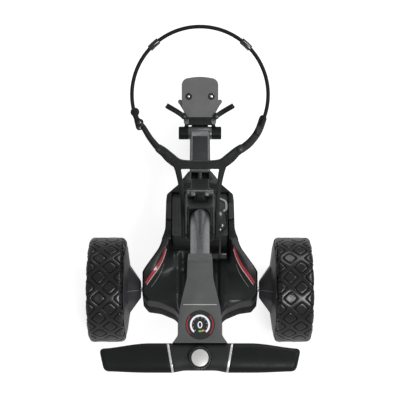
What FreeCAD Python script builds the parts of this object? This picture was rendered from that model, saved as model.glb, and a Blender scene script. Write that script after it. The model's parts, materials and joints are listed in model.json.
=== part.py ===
"""Electric golf trolley: three wheels, folding stem, lift-out battery, upper and lower bag supports.

Frame: X to the right, Y forward, Z up, millimetres. The ground is Z = 0, and the rear axle lies above Y = 0.
Every node is one STEP file in parts/.
"""
import FreeCAD, Part
import math
import os

V = FreeCAD.Vector
X_AXIS = V(1, 0, 0)
LEFT, RIGHT = -1, 1
SIDES = (("left", LEFT), ("right", RIGHT))

# Driving dimensions -------------------------------------------------------------------------------
RUN_GAP = 0.05          # radial clearance of a shaft in its bore
SEAT_GAP = 0.3          # gap between pieces that move past each other
PRESS_GAP = 0.02        # radial clearance of a fit that stays still
ORIGIN_Y = 61.8         # the frame's origin lies this far in front of the rear axle

# Rear wheels and axle
WHEEL_R = 140.0
TYRE_WIDTH = 96.0
TYRE_SEAT_R = 96.0
WHEEL_OUT_X = 295.0     # outer face of a rear tyre
CONE_IN_X = 159.0       # inner tip of the hub cone
CONE_TIP_R = 28.0
CONE_BASE_R = 69.0
COVER_R = 122.0         # edge of the cone's flange, over the tyre's inner wall
AXLE_R = 6.0
BUTTON_R = 14.0
BUTTON_TRAVEL = 4.0

# Drive train
GEAR_MODULE = 1.5
GEAR_TEETH = 40
PINION_TEETH = 10
GEAR_WIDTH = 14.0
GEAR_X = 18.0           # left face of the gears
MOTOR_R = 26.0
MOTOR_LENGTH = 76.0
MOTOR_SHAFT_R = 2.5
BEARING_R = 13.0
BEARING_X = (126.0, 140.0)
CASE_R = 37.0           # gearbox round the output gear
CASE_WALL = 3.0

# Battery
BATTERY_HALF = 74.5
BATTERY_LENGTH = 126.0
BATTERY_HEIGHT = 62.0
BATTERY_SIDE_GAP = 2.5
BATTERY_END_GAP = 2.0
BATTERY_WALL = 3.0
LID_THICKNESS = 9.0
CELL_R, CELL_PITCH = 9.8, 22.05
CELL_ROWS, CELL_COLUMNS = 5, 6
LEAD_R = 3.0
LEAD_RISE = 9.0         # the lead leaves the gland this far above the lid
PLUG_X = 52.0
PLUG_HALF = 20.0
PLUG_HEIGHT = 22.0
SLIDE_ANGLE = 137.4     # way out of the battery and its plug, above +Y

# Chassis
WALL = 3.0
ARM_X = 153.0           # side face of a rear arm
ARM_R = 42.0            # arm half height about the axle
TRAY_REAR_Y = 104.0
TRAY_HALF = BATTERY_HALF + BATTERY_SIDE_GAP
TRAY_FRONT_Y = TRAY_REAR_Y + BATTERY_END_GAP + BATTERY_LENGTH + 1.0
DECK_Z = 188.0
RIM_Z = DECK_Z + BATTERY_HEIGHT + 12.0
NOSE_Y = TRAY_FRONT_Y + 67.0
NOSE_HALF = 31.0
SPLIT_Z = WHEEL_R       # the shells part at the axle's height
SCREW_PLACES = ((118.0, 14.0), (70.0, 128.0), (30.0, -78.0))
SCREW_R = 2.2
STRIPE_POINTS = ((91, 96), (101, 70), (119, 42), (143, 12))
STRIPE_HEIGHT = 0.8

# Stem, in its own frame: origin on the tube's axis at the hinge, y down the tube, z out of its front
STEM_Y, STEM_Z = 92.0, 430.0
STEM_ANGLE = -50.5
STEM_LENGTH = 612.0
TUBE_R_LOW, TUBE_R_HIGH = 23.3, 19.0
TUBE_WALL = 2.0
HOOD_HALF = 35.0
FOLD_PIVOT = (14.0, 37.6)       # stem frame (y, z)
YOKE_PIVOT = (-91.0, -51.0)     # stem frame (y, z)
LATCH_PIVOT = (-44.0, 42.0)     # stem frame (y, z)
LATCH_PIN_R = 2.5
TUBE_FOOT = 30.0        # the tube starts this far above the hinge's plane
HINGE_R = 9.0
HINGE_TONGUE = 13.5     # half width of the neck's barrel between the stem's knuckles
PIN_R = 4.0

# Neck and lower stem
NECK_HALF = 30.0
FOOT_HALF = 24.0
FOOT_Y = TRAY_FRONT_Y + 7.0
FOOT_Z = (214.0, 246.0)
LOWER_STEM_HALF = 28.5
LOWER_STEM_DEPTH = 32.0
FRONT_HINGE_Y, FRONT_HINGE_Z = 473.0, 180.0
FRONT_HINGE_R = 18.5
FRONT_HINGE_HALF = 61.0
BARREL_HALF = 33.5
PANEL_HALF = 21.0
PANEL_Y = (26.0, 148.0)

# Handle, in its own frame: origin at the bar's centre, y forward, z out of the display's face
TUBE_END = (176.49, -40.58)     # the stem tube's end in the handle's frame
HANDLE_ANGLE = 20.0
HANDLE_HALF = 194.0
BAR_DEPTH = 56.0
BAR_HEIGHT = 34.0
CENTRE_HALF = 52.0
CONSOLE_LENGTH = 181.0
CONSOLE_HALF = 42.0
COVER_DEPTH = 13.0      # the console parts this far below its face
BAND_WIDTH = 4.0
BAND_IN_X, BAND_OUT_X = 61.0, 51.0      # band centre at the bar's front edge and at its back edge
CORE_R = 9.0
CORE_SHORT = 12.5       # the core stops this far inside each end of the bar
DISPLAY_R = 27.0
DISPLAY_AT = 62.0
KNOB_R = 21.0
KNOB_FACE_R = 16.0
KNOB_HEIGHT = 11.0      # above the bar's top
KNOB_SINK = 3.5         # below the bar's top
KNOB_TEETH = 28
SHAFT_R = 3.0

# Bag axis and upper bag support, in the ring's frame: y along the ring's plane, z towards the user
BAG_Y, BAG_Z = 131.0, 582.0
BAG_ANGLE = 40.0
RING_R = 160.0
RING_CENTRE = 165.0
STRAP_R = 4.5
ARM_PIN_X = 98.0
ARM_PIN_Y = 36.0
ARM_PIN_R = 3.5
YOKE_T = 18.0
LEG_X = 41.0            # the yoke's legs at its pivot
LEVER_Z = (YOKE_T / 2 + SEAT_GAP, YOKE_T / 2 + 8)    # the strap's lever and arm lie on the yoke
STRAP_Z = LEVER_Z[1] + SEAT_GAP + STRAP_R
RING_START = {LEFT: -22.0, RIGHT: -28.0}             # angles where the ring meets lever and arm
SLEEVE_ANGLES = (48.0, 132.0)

# Lower bag support and front wheel
PLATE_Y, PLATE_Z = 550.0, 250.0
PLATE_HALF = 52.0
PLATE_LENGTH = 114.0
PLATE_T = 10.0
PLATE_STEP = 1.5        # the rest face stands this far above the ears
SCREW_SPOTS = ((-32.0, 2.0), (32.0, 2.0))
PLATE_SCREW_R = 3.2
CRADLE_PIVOT = (46.0, -54.0)
CRADLE_ANGLE = 34.0
CRADLE_REACH = 60.0
CRADLE_HALF = 7.0
CRADLE_PIN_R = 3.0
CRADLE_TOP = 15.7
FRONT_R = 90.0
FRONT_WIDTH = 50.0
FRONT_AXLE_Y = 540.0
FRONT_AXLE_Z = FRONT_R
FRONT_AXLE_R = 5.0
BLADE_IN = 30.0
BLADE_T = 7.0


# Helpers ------------------------------------------------------------------------------------------
def frame_at(y, z, angle):
    """Placement of a frame whose y axis rises by angle degrees in the YZ plane."""
    return FreeCAD.Placement(V(0, y, z), FreeCAD.Rotation(X_AXIS, angle))


STEM = frame_at(STEM_Y, STEM_Z, STEM_ANGLE)
PLUG = frame_at(80, DECK_Z + 10, SLIDE_ANGLE - 90)    # z along the battery's way out, origin on the socket's face


def handle_frame():
    """Placement of the handle, carried by the end of the stem tube."""
    turn = FreeCAD.Rotation(X_AXIS, HANDLE_ANGLE)
    tube_end = STEM.multVec(V(0, -STEM_LENGTH, 0))
    return FreeCAD.Placement(tube_end - turn.multVec(V(0, *TUBE_END)), turn)


HANDLE = handle_frame()
BAG = frame_at(BAG_Y, BAG_Z, BAG_ANGLE)
PLATE = frame_at(PLATE_Y, PLATE_Z, BAG_ANGLE)


def placed(shape, placement):
    """The shape moved from a local frame into the trolley's frame."""
    moved = shape.copy()
    moved.Placement = placement.multiply(moved.Placement)
    return moved


def mirrored(shape):
    return shape.mirror(V(0, 0, 0), X_AXIS)


def on_side(shape, side):
    """A piece drawn for the right side, or its mirror image for the left."""
    return shape if side == RIGHT else mirrored(shape)


def both(shape):
    return Part.makeCompound([shape, mirrored(shape)])


def fuse(*shapes):
    return shapes[0].fuse(list(shapes[1:])).removeSplitter()


def cut(shape, *tools):
    return shape.cut(list(tools))


def box(x0, x1, y0, y1, z0, z1):
    return Part.makeBox(x1 - x0, y1 - y0, z1 - z0, V(x0, y0, z0))


def rod(start, end, radius):
    """A round bar between two points."""
    a, b = V(*start), V(*end)
    return Part.makeCylinder(radius, (b - a).Length, a, b - a)


def x_rod(x0, x1, y, z, radius):
    return rod((x0, y, z), (x1, y, z), radius)


def outline(points):
    """A closed wire through 2-D points; a third number in a point rounds its corner by that radius."""
    edges, starts, ends = [], [], []
    count = len(points)
    for i, point in enumerate(points):
        corner = V(point[0], point[1], 0)
        radius = point[2] if len(point) > 2 else 0
        before = V(points[i - 1][0], points[i - 1][1], 0)
        after = V(points[(i + 1) % count][0], points[(i + 1) % count][1], 0)
        if radius <= 0:
            starts.append(corner)
            ends.append(corner)
            edges.append(None)
            continue
        to_before, to_after = (before - corner).normalize(), (after - corner).normalize()
        half = to_before.getAngle(to_after) / 2
        reach = radius / math.tan(half)
        first, last = corner + to_before * reach, corner + to_after * reach
        centre = corner + (to_before + to_after).normalize() * (radius / math.sin(half))
        middle = centre + (corner - centre).normalize() * radius
        starts.append(first)
        ends.append(last)
        edges.append(Part.Arc(first, middle, last).toShape())
    wire = []
    for i in range(count):
        if edges[i] is not None:
            wire.append(edges[i])
        nxt = starts[(i + 1) % count]
        if (nxt - ends[i]).Length > 1e-6:
            wire.append(Part.LineSegment(ends[i], nxt).toShape())
    return Part.Wire(wire)


def extruded(wire, matrix, direction):
    """A flat outline laid in a plane by a matrix, then drawn along a direction."""
    face = Part.Face(wire)
    face.Placement = FreeCAD.Placement(FreeCAD.Matrix(*matrix))
    return face.extrude(direction)


def plan_wire_prism(wire, z0, z1):
    return extruded(wire, (1, 0, 0, 0, 0, 1, 0, 0, 0, 0, 1, z0, 0, 0, 0, 1), V(0, 0, z1 - z0))


def side_wire_prism(wire, x0, x1):
    return extruded(wire, (0, 0, 1, x0, 1, 0, 0, 0, 0, 1, 0, 0, 0, 0, 0, 1), V(x1 - x0, 0, 0))


def slab(points, z0, z1):
    """A plan outline in x and y, raised from z0 to z1."""
    return plan_wire_prism(outline(points), z0, z1)


def side_prism(points, x0, x1):
    """A side outline in y and z, drawn across from x0 to x1."""
    return side_wire_prism(outline(points), x0, x1)


def front_prism(points, y0, y1):
    """An end outline in x and z, drawn along from y0 to y1."""
    matrix = (1, 0, 0, 0, 0, 0, -1, y0, 0, 1, 0, 0, 0, 0, 0, 1)
    return extruded(outline(points), matrix, V(0, y1 - y0, 0))


def both_halves(points):
    """A right half outline from front to back, completed with its mirror image."""
    left = [(-p[0],) + tuple(p[1:]) for p in reversed(points) if p[0] > 0]
    return list(points) + left


def turned(profile, y, z):
    """A profile of (x, radius) points turned about the X line through y, z."""
    wire = Part.makePolygon([V(x, y, z + r) for x, r in profile] + [V(profile[0][0], y, z + profile[0][1])])
    return Part.Face(wire).revolve(V(0, y, z), X_AXIS, 360)


def ring_x(x0, x1, y, z, inner, outer):
    return cut(x_rod(x0, x1, y, z, outer), x_rod(x0 - 1, x1 + 1, y, z, inner))


def gear(teeth, x0, width, y, z, bore, phase):
    """A spur gear with straight-flanked teeth, about the X line through y, z."""
    pitch_r = GEAR_MODULE * teeth / 2
    root_r, tip_r = pitch_r - 1.2 * GEAR_MODULE, pitch_r + 0.75 * GEAR_MODULE
    step = 2 * math.pi / teeth
    points = []
    for i in range(teeth):
        centre = phase + i * step
        for radius, share in ((root_r, -0.33), (tip_r, -0.12), (tip_r, 0.12), (root_r, 0.33)):
            angle = centre + share * step
            points.append(V(x0, y + radius * math.cos(angle), z + radius * math.sin(angle)))
    blank = Part.Face(Part.makePolygon(points + [points[0]])).extrude(V(width, 0, 0))
    return cut(blank, x_rod(x0 - 1, x0 + width + 1, y, z, bore))


def path_tube(points, radius):
    """A round cord along straight runs joined by tangent arcs."""
    corners = [V(*p) for p in points]
    edges, last = [], corners[0]
    for before, corner, after in zip(corners, corners[1:], corners[2:]):
        back, ahead = before - corner, after - corner
        half = back.getAngle(ahead) / 2
        reach = 0.45 * min(back.Length, ahead.Length)
        bend = reach * math.tan(half)
        first, end = corner + back.normalize() * reach, corner + ahead.normalize() * reach
        centre = corner + (back + ahead).normalize() * (bend / math.sin(half))
        middle = centre + (corner - centre).normalize() * bend
        edges += [Part.LineSegment(last, first).toShape(), Part.Arc(first, middle, end).toShape()]
        last = end
    edges.append(Part.LineSegment(last, corners[-1]).toShape())
    spine = Part.Wire(edges)
    section = Part.Wire(Part.makeCircle(radius, corners[0], corners[1] - corners[0]))
    return spine.makePipeShell([section], True, False)


# Chassis ------------------------------------------------------------------------------------------
def chassis_plan():
    """Right half of the chassis outline from the nose to the tail."""
    return [(0, NOSE_Y), (NOSE_HALF, NOSE_Y, 6), (TRAY_HALF - 19, TRAY_FRONT_Y + 24, 20),
            (TRAY_HALF + 12, TRAY_FRONT_Y - 7, 14), (TRAY_HALF + 14, TRAY_FRONT_Y - 28),
            (TRAY_HALF + 15, 118, 60), (108, 79, 60), (ARM_X - 9, 38, 30),
            (ARM_X, 26, 6), (ARM_X, -30, 8), (ARM_X - 15, -49, 10), (104, -54, 60), (66, -72, 30),
            (48, -100, 16), (0, -106)]


def chassis_side():
    """Side outline of the chassis: nose, tray rim, falling fins, tail and belly."""
    belly_z = WHEEL_R - ARM_R
    return [(NOSE_Y + 60, 212), (NOSE_Y + 60, RIM_Z - 12), (NOSE_Y - 30, RIM_Z, 30), (TRAY_REAR_Y + 4, RIM_Z, 60),
            (20, 200, 90), (-50, WHEEL_R + ARM_R - 2, 60), (-170, WHEEL_R + 14), (-170, WHEEL_R - 24),
            (-60, belly_z, 40), (70, belly_z, 60), (TRAY_FRONT_Y, 172, 60)]


def grown(points, growth):
    """An outline moved outwards by growth, or inwards when it is negative."""
    wire = outline(points)
    return wire.makeOffset2D(growth, 2, False, False, False) if growth else wire


def chassis_body(growth=0.0):
    """The chassis as one closed form, grown or shrunk by a wall."""
    plan = plan_wire_prism(grown(both_halves(chassis_plan()), growth), 0, 400)
    return plan.common(side_wire_prism(grown(chassis_side(), growth), -200, 200))


def trough(growth=0.0):
    """The hollow that holds the battery, open towards the rear deck."""
    tray = box(-TRAY_HALF - growth, TRAY_HALF + growth, TRAY_REAR_Y - 12, TRAY_FRONT_Y + growth, DECK_Z - growth, 400)
    deck_half = TRAY_HALF + growth
    low = DECK_Z - growth
    section = [(-deck_half, 400), (-deck_half, low, 16), (deck_half, low, 16), (deck_half, 400)]
    rear = front_prism(section, -200, TRAY_REAR_Y - 12)
    return fuse(tray, rear)


def boss(x, y):
    return rod((x, y, WHEEL_R - ARM_R), (x, y, RIM_Z), 5.5)


def screw_hole(x, y):
    return rod((x, y, 0), (x, y, SPLIT_Z + 16), SCREW_R)


def shell_pair():
    """Upper and lower chassis shells, parted at the axle's height."""
    outer = chassis_body()
    cavity = cut(chassis_body(-WALL), trough(WALL))
    skin = cut(outer, trough(), cavity)
    bosses = Part.makeCompound([boss(side * x, y) for x, y in SCREW_PLACES for side in (LEFT, RIGHT)])
    skin = skin.fuse(bosses.common(outer).cut(trough()))
    bearing_wall = cut(box(*BEARING_X, -20, 20, WHEEL_R - ARM_R + 1, WHEEL_R + ARM_R - 6),
                       x_rod(-200, 200, 0, WHEEL_R, BEARING_R)).common(outer)
    skin = skin.fuse([bearing_wall, mirrored(bearing_wall)])
    skin = cut(skin, x_rod(-200, 200, 0, WHEEL_R, AXLE_R + 1.0))
    skin = cut(skin, *[screw_hole(side * x, y) for x, y in SCREW_PLACES for side in (LEFT, RIGHT)])
    skin = cut(skin.fuse(socket_block()), neck_frame())
    below = box(-400, 400, -400, 400, 0, SPLIT_Z)
    upper, lower = skin.cut(below), skin.common(below)
    upper = cut(upper, *nose_windows())
    return largest(upper), largest(lower)


def largest(shape):
    """The biggest solid of a shape, without loose crumbs."""
    return max(shape.Solids, key=lambda solid: solid.Volume)


def nose_windows():
    """Two triangular openings in the nose, either side of its rib."""
    front, back = NOSE_Y - 4, NOSE_Y - 28
    window = slab([(5, front, 2), (24, front, 2), (24, back, 2), (5, back - 10, 2)], RIM_Z - 34, 400)
    return [window, mirrored(window)]


def side_stripes():
    """Raised red stripes along the top of both fins."""
    curve = Part.BSplineCurve()
    curve.interpolate([V(x, y, 0) for x, y in STRIPE_POINTS])
    edge = curve.toShape()
    far = Part.BSplineCurve()
    far.interpolate([V(x + 5 + 0.9 * i, y + 2 * i, 0) for i, (x, y) in enumerate(STRIPE_POINTS)])
    ends = [Part.LineSegment(curve.value(curve.LastParameter), far.value(far.LastParameter)).toShape(),
            Part.LineSegment(far.value(far.FirstParameter), curve.value(curve.FirstParameter)).toShape()]
    wire = Part.Wire([edge, ends[0], far.toShape(), ends[1]])
    stripe = plan_wire_prism(wire, SPLIT_Z, 400)
    layer = stripe.common(chassis_body(STRIPE_HEIGHT)).cut(chassis_body())
    return both(largest(layer))


def battery_clips():
    """A spring clip on each side of the tray, hinged along its outer edge."""
    low = RIM_Z + SEAT_GAP
    leaf = side_prism([(148, low, 2), (196, low, 2), (196, low + 6.4, 2), (148, low + 6.4, 2)],
                      TRAY_HALF - 0.5, TRAY_HALF + 9)
    knuckle = rod((TRAY_HALF + 9, 150, low + 3.2), (TRAY_HALF + 9, 194, low + 3.2), 3.2)
    return fuse(leaf, knuckle)


# Neck, hinge and lower stem -----------------------------------------------------------------------
def stem_point(y, z):
    """A point of the stem's frame in the trolley's frame, as (Y, Z)."""
    point = STEM.multVec(V(0, y, z))
    return point.y, point.z


def neck_frame():
    """Spine from the nose over the battery up to the folding hinge."""
    low, high = FOLD_PIVOT[0] + SEAT_GAP, FOLD_PIVOT[1]
    top_front = stem_point(low, high + 2)
    mid_back = stem_point(low, -30)
    neck = side_prism([top_front, mid_back, (110, 372, 30), (FOOT_Y - 4, RIM_Z + 6, 20), (FOOT_Y, FOOT_Z[0]),
                       (NOSE_Y, FOOT_Z[0]), (NOSE_Y, FOOT_Z[1]), (FOOT_Y + 23, FOOT_Z[1], 6),
                       (FOOT_Y + 18, RIM_Z + 30, 30)],
                      -FOOT_HALF, FOOT_HALF)
    head = side_prism([top_front, mid_back, (112, 374, 20), (160, 334, 10), (186, 366, 10)], -NECK_HALF, NECK_HALF)
    pivot = stem_point(*FOLD_PIVOT)
    barrel = x_rod(-HINGE_TONGUE, HINGE_TONGUE, pivot[0], pivot[1], HINGE_R)
    free = HINGE_TONGUE + SEAT_GAP
    clear = [x_rod(side * free, side * 40, pivot[0], pivot[1], HINGE_R + 1.5) for side in (LEFT, RIGHT)]
    body = cut(fuse(neck, head), *clear)
    return cut(fuse(body, barrel), x_rod(-50, 50, pivot[0], pivot[1], PIN_R + RUN_GAP))


def front_hinge_pin():
    return x_rod(-FRONT_HINGE_HALF + 3, FRONT_HINGE_HALF - 3, FRONT_HINGE_Y, FRONT_HINGE_Z, PIN_R)


def hinge_pins():
    """The pins of the folding hinge and of the front hinge."""
    pivot = stem_point(*FOLD_PIVOT)
    return Part.makeCompound([x_rod(-39, 39, pivot[0], pivot[1], PIN_R), front_hinge_pin()])


def lower_stem_frame():
    """Placement with y running forward down the lower stem from the nose."""
    start_y, start_z = NOSE_Y, (FOOT_Z[0] + FOOT_Z[1]) / 2
    rise = math.degrees(math.atan2(FRONT_HINGE_Z - start_z, FRONT_HINGE_Y - start_y))
    length = math.hypot(FRONT_HINGE_Z - start_z, FRONT_HINGE_Y - start_y)
    return frame_at(start_y, start_z, rise), length


def lower_stem():
    """Box-section stem from the nose to the barrel of the front hinge."""
    placement, length = lower_stem_frame()
    half = LOWER_STEM_DEPTH / 2
    section = [(-LOWER_STEM_HALF, -half, 5), (LOWER_STEM_HALF, -half, 5), (LOWER_STEM_HALF, half, 5),
               (-LOWER_STEM_HALF, half, 5)]
    inner = [(-LOWER_STEM_HALF + 3, -half + 3, 3), (LOWER_STEM_HALF - 3, -half + 3, 3),
             (LOWER_STEM_HALF - 3, half - 3, 3), (-LOWER_STEM_HALF + 3, half - 3, 3)]
    tube = cut(front_prism(section, -20, length), front_prism(inner, 0, length - 24))
    tube = placed(tube, placement)
    tube = cut(tube, box(-60, 60, 0, NOSE_Y, 0, 500))
    barrel = x_rod(-BARREL_HALF + SEAT_GAP, BARREL_HALF - SEAT_GAP, FRONT_HINGE_Y, FRONT_HINGE_Z, FRONT_HINGE_R)
    pin_hole = x_rod(-80, 80, FRONT_HINGE_Y, FRONT_HINGE_Z, PIN_R + RUN_GAP)
    seat = placed(box(-PANEL_HALF, PANEL_HALF, PANEL_Y[0], PANEL_Y[1], half - 1, half + 9), placement)
    return cut(fuse(tube, barrel), pin_hole, seat)


def lower_stem_panel():
    """Dark panel let into the top of the lower stem."""
    placement, _ = lower_stem_frame()
    half = LOWER_STEM_DEPTH / 2
    plate = slab([(-PANEL_HALF, PANEL_Y[0]), (PANEL_HALF, PANEL_Y[0]), (PANEL_HALF, PANEL_Y[1]),
                  (-PANEL_HALF, PANEL_Y[1])], half - 1, half + 1.2)
    return placed(plate, placement)


# Drive --------------------------------------------------------------------------------------------
def motor_y():
    return GEAR_MODULE * (GEAR_TEETH + PINION_TEETH) / 2


def drive_axle():
    reach = WHEEL_OUT_X - 14
    return x_rod(-reach, reach, 0, WHEEL_R, AXLE_R)


def output_gear():
    return gear(GEAR_TEETH, GEAR_X, GEAR_WIDTH, 0, WHEEL_R, AXLE_R, math.pi / GEAR_TEETH)


def motor_pinion():
    """Pinion with its shaft, which runs into the motor."""
    pinion = gear(PINION_TEETH, GEAR_X + 1, GEAR_WIDTH - 2, motor_y(), WHEEL_R, MOTOR_SHAFT_R - 0.1, math.pi)
    shaft = x_rod(GEAR_X - 20, GEAR_X + GEAR_WIDTH + 5, motor_y(), WHEEL_R, MOTOR_SHAFT_R)
    return fuse(pinion, shaft)


def motor():
    start = GEAR_X - 5 - MOTOR_LENGTH
    can = x_rod(start, GEAR_X - 5, motor_y(), WHEEL_R, MOTOR_R)
    rear = x_rod(start - 6, start, motor_y(), WHEEL_R, 9)
    hole = x_rod(GEAR_X - 21, GEAR_X + 5, motor_y(), WHEEL_R, MOTOR_SHAFT_R + RUN_GAP)
    return cut(fuse(can, rear), hole)


def gearbox_case():
    """Two halves round the gears, parted at the axle's height."""
    x0, x1 = GEAR_X - 5, GEAR_X + GEAR_WIDTH + 5
    small_r = GEAR_MODULE * PINION_TEETH / 2 + 8
    outer = fuse(x_rod(x0, x1, 0, WHEEL_R, CASE_R), x_rod(x0, x1, motor_y(), WHEEL_R, small_r),
                 box(x0, x1, 0, motor_y(), WHEEL_R - small_r, WHEEL_R + small_r))
    inner = fuse(x_rod(x0 + CASE_WALL, x1 - CASE_WALL, 0, WHEEL_R, CASE_R - CASE_WALL),
                 x_rod(x0 + CASE_WALL, x1 - CASE_WALL, motor_y(), WHEEL_R, small_r - CASE_WALL))
    shell = cut(outer, inner, x_rod(x0 - 1, x1 + 1, 0, WHEEL_R, AXLE_R + RUN_GAP),
                x_rod(x0 - 1, x1 + 1, motor_y(), WHEEL_R, MOTOR_SHAFT_R + RUN_GAP))
    half = box(-200, 200, -200, 200, 0, WHEEL_R)
    return Part.makeCompound([largest(shell.common(half)), largest(shell.cut(half))])


def axle_bearings():
    return both(ring_x(*BEARING_X, 0, WHEEL_R, AXLE_R + RUN_GAP, BEARING_R))


def control_board():
    """Motor controller standing behind the axle."""
    floor = WHEEL_R - ARM_R + WALL + SEAT_GAP
    board = box(-46, 46, -54, -52, floor, WHEEL_R + 20)
    parts = [box(x0, x1, -54 - height, -54, WHEEL_R - 14, WHEEL_R + 6) for x0, x1, height in
             ((-40, -18, 12), (-6, 12, 9), (24, 40, 14))]
    return fuse(board, *parts)


# Battery ------------------------------------------------------------------------------------------
def battery_ends():
    """Rear and front face of the battery, in Y."""
    rear = TRAY_REAR_Y + BATTERY_END_GAP
    return rear, rear + BATTERY_LENGTH


def battery_top():
    return DECK_Z + SEAT_GAP + BATTERY_HEIGHT


def battery_block(z0, z1):
    """The battery's plan, raised from z0 to z1."""
    y0, y1 = battery_ends()
    half = BATTERY_HALF
    return slab([(-half, y0, 6), (half, y0, 6), (half, y1, 6), (-half, y1, 6)], z0, z1)


def battery_case():
    """Open box under the lid."""
    low, top = DECK_Z + SEAT_GAP, battery_top() - LID_THICKNESS
    y0, y1 = battery_ends()
    half = BATTERY_HALF - BATTERY_WALL
    hollow = box(-half, half, y0 + BATTERY_WALL, y1 - BATTERY_WALL, low + BATTERY_WALL, top + 1)
    return cut(battery_block(low, top), hollow)


def battery_lid():
    """Lid with raised ribs along its left half."""
    top = battery_top()
    y0, y1 = battery_ends()
    ribs = [box(-66 + 9 * i, -63 + 9 * i, y0 + 8, y1 - 8, top, top + 2) for i in range(5)]
    return fuse(battery_block(top - LID_THICKNESS, top), *ribs)


def battery_cells():
    """Cell block inside the case."""
    low, high = DECK_Z + SEAT_GAP + BATTERY_WALL, battery_top() - LID_THICKNESS - 2
    middle = sum(battery_ends()) / 2
    cells = []
    for i in range(CELL_COLUMNS):
        for j in range(CELL_ROWS):
            x = (i - (CELL_COLUMNS - 1) / 2) * CELL_PITCH
            y = middle + (j - (CELL_ROWS - 1) / 2) * CELL_PITCH
            cells.append(rod((x, y, low), (x, y, high), CELL_R))
    return Part.makeCompound(cells)


def lead_gland():
    """Moulded strain relief on the lid, where the lead comes out."""
    top, rear = battery_top(), gland_rear()
    return side_prism([(rear + 66, top, 2), (rear + 66, top + 12, 10), (rear + 28, top + 24, 20),
                       (rear, top + 16, 6), (rear, top, 2)], PLUG_X - PLUG_HALF + 1, PLUG_X + PLUG_HALF - 1)


def gland_rear():
    """The gland's rear face, in Y, where the lead comes out."""
    return battery_ends()[0] + 6


def battery_plug():
    """Plug that leaves its socket along the battery's way out."""
    return placed(box(PLUG_X - PLUG_HALF, PLUG_X + PLUG_HALF, -8, 8, SEAT_GAP, PLUG_HEIGHT), PLUG)


def socket_block():
    """Socket for the plug, moulded on the deck behind the tray."""
    block = placed(box(PLUG_X - PLUG_HALF + 2, PLUG_X + PLUG_HALF - 2, -7, 7, -14, 0), PLUG)
    return cut(block, box(-200, 200, -200, 200, 0, DECK_Z - 1))


def battery_lead():
    """Short lead from the lid's gland over the rear edge into the plug."""
    start_y, start_z = gland_rear(), battery_top() + LEAD_RISE
    end, before = (PLUG.multVec(V(0, 0, PLUG_HEIGHT + run)) for run in (0, 23))
    route = [(start_y, start_z), (start_y - 30, start_z + 0.5), (before.y + 6, before.z + 23),
             (before.y, before.z), (end.y, end.z)]
    return path_tube([(PLUG_X, y, z) for y, z in route], LEAD_R)


# Upper stem ---------------------------------------------------------------------------------------
def stem_tube():
    """Tapered tube from the hinge to the console."""
    return placed(cut(tube_cone(0), tube_cone(-TUBE_WALL)), STEM)


def tube_cone(growth):
    """The tube's outer surface as a solid, grown by a fit or shrunk by its wall."""
    return Part.makeCone(TUBE_R_LOW + growth, TUBE_R_HIGH + growth, STEM_LENGTH - TUBE_FOOT,
                         V(0, -TUBE_FOOT, 0), V(0, -1, 0))


def stem_hood():
    """Knuckle round the tube's foot, with the folding hinge in front and the yoke's pivot behind."""
    py, pz = FOLD_PIVOT
    qy, qz = YOKE_PIVOT
    form = side_prism([(py, pz - 8), (py, -TUBE_FOOT, 12), (qy + 12, qz - 13, 14), (qy - 14, qz - 13, 14),
                       (qy - 20, -26, 20), (qy - 40, -23), (qy - 40, 24), (-60, 27, 40), (-4, 36, 20)],
                      -HOOD_HALF, HOOD_HALF)
    plan = slab([(-HOOD_HALF, py + 40), (HOOD_HALF, py + 40), (HOOD_HALF, qy + 20, 40), (25, qy - 60, 10),
                 (-25, qy - 60, 10), (-HOOD_HALF, qy + 20, 40)], -200, 200)
    body = form.common(plan)
    inside = HINGE_TONGUE + SEAT_GAP
    knuckle = fuse(x_rod(inside, 38, py, pz, HINGE_R), box(inside, 34, -6, py, pz - 16, pz))
    body = fuse(body, knuckle, mirrored(knuckle))
    mid = box(-inside, inside, py - HINGE_R - 1, py + 20, pz - HINGE_R - 1.5, pz + 30)
    bore = tube_cone(PRESS_GAP)
    ly, lz = LATCH_PIVOT
    lug = cut(box(-12, 12, ly - 5, ly + 5, TUBE_R_LOW, lz + 4), x_rod(-20, 20, ly, lz, LATCH_PIN_R + RUN_GAP))
    body = cut(body, mid, bore, x_rod(-60, 60, py, pz, PIN_R + RUN_GAP), x_rod(-60, 60, qy, qz, PIN_R + RUN_GAP))
    return placed(fuse(largest(body), lug.cut(bore)), STEM)


def lock_lever():
    """Release lever across the foot of the stem: two arms on a trunnion, and a grip bar."""
    y, z = LATCH_PIVOT
    low = z - 4
    arms = [side_prism([(y - 5, low, 3), (y + 24, low, 2), (y + 24, z + 5, 3), (y - 5, z + 5, 3)],
                       side * 17 - 4.5, side * 17 + 4.5) for side in (LEFT, RIGHT)]
    bar = side_prism([(y + 18, low, 2), (y + 32, low, 2), (y + 32, z + 7, 4), (y + 18, z + 7, 4)], -33, 33)
    return placed(fuse(bar, x_rod(-20, 20, y, z, LATCH_PIN_R), *arms), STEM)


# Handle and console -------------------------------------------------------------------------------
def console_outline(growth=0.0):
    """Plan of the console, with a nose long enough for the tube's socket."""
    nose = CONSOLE_LENGTH + 30 + growth
    return both_halves([(0, nose), (TUBE_R_HIGH + 4 + growth, nose, 12), (25 + growth, 150, 60),
                        (CONSOLE_HALF - 4 + growth, 96, 60), (CONSOLE_HALF + growth, 62, 20),
                        (CONSOLE_HALF + growth, 42, 12), (CENTRE_HALF + growth, BAR_DEPTH / 2), (0, BAR_DEPTH / 2)])


def console_side(growth=0.0):
    """Side of the console: display face on top, deep nose round the tube's end."""
    top, back = BAR_HEIGHT / 2 + growth, BAR_DEPTH / 2
    return [(back, top), (CONSOLE_LENGTH + growth, top, 24), (CONSOLE_LENGTH + 26 + growth, -62 - growth, 6),
            (CONSOLE_LENGTH - 22 - growth, -80 - growth, 6), (CONSOLE_LENGTH - 46 - growth, -36 - growth, 30),
            (back, -BAR_HEIGHT / 2 - growth)]


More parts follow.
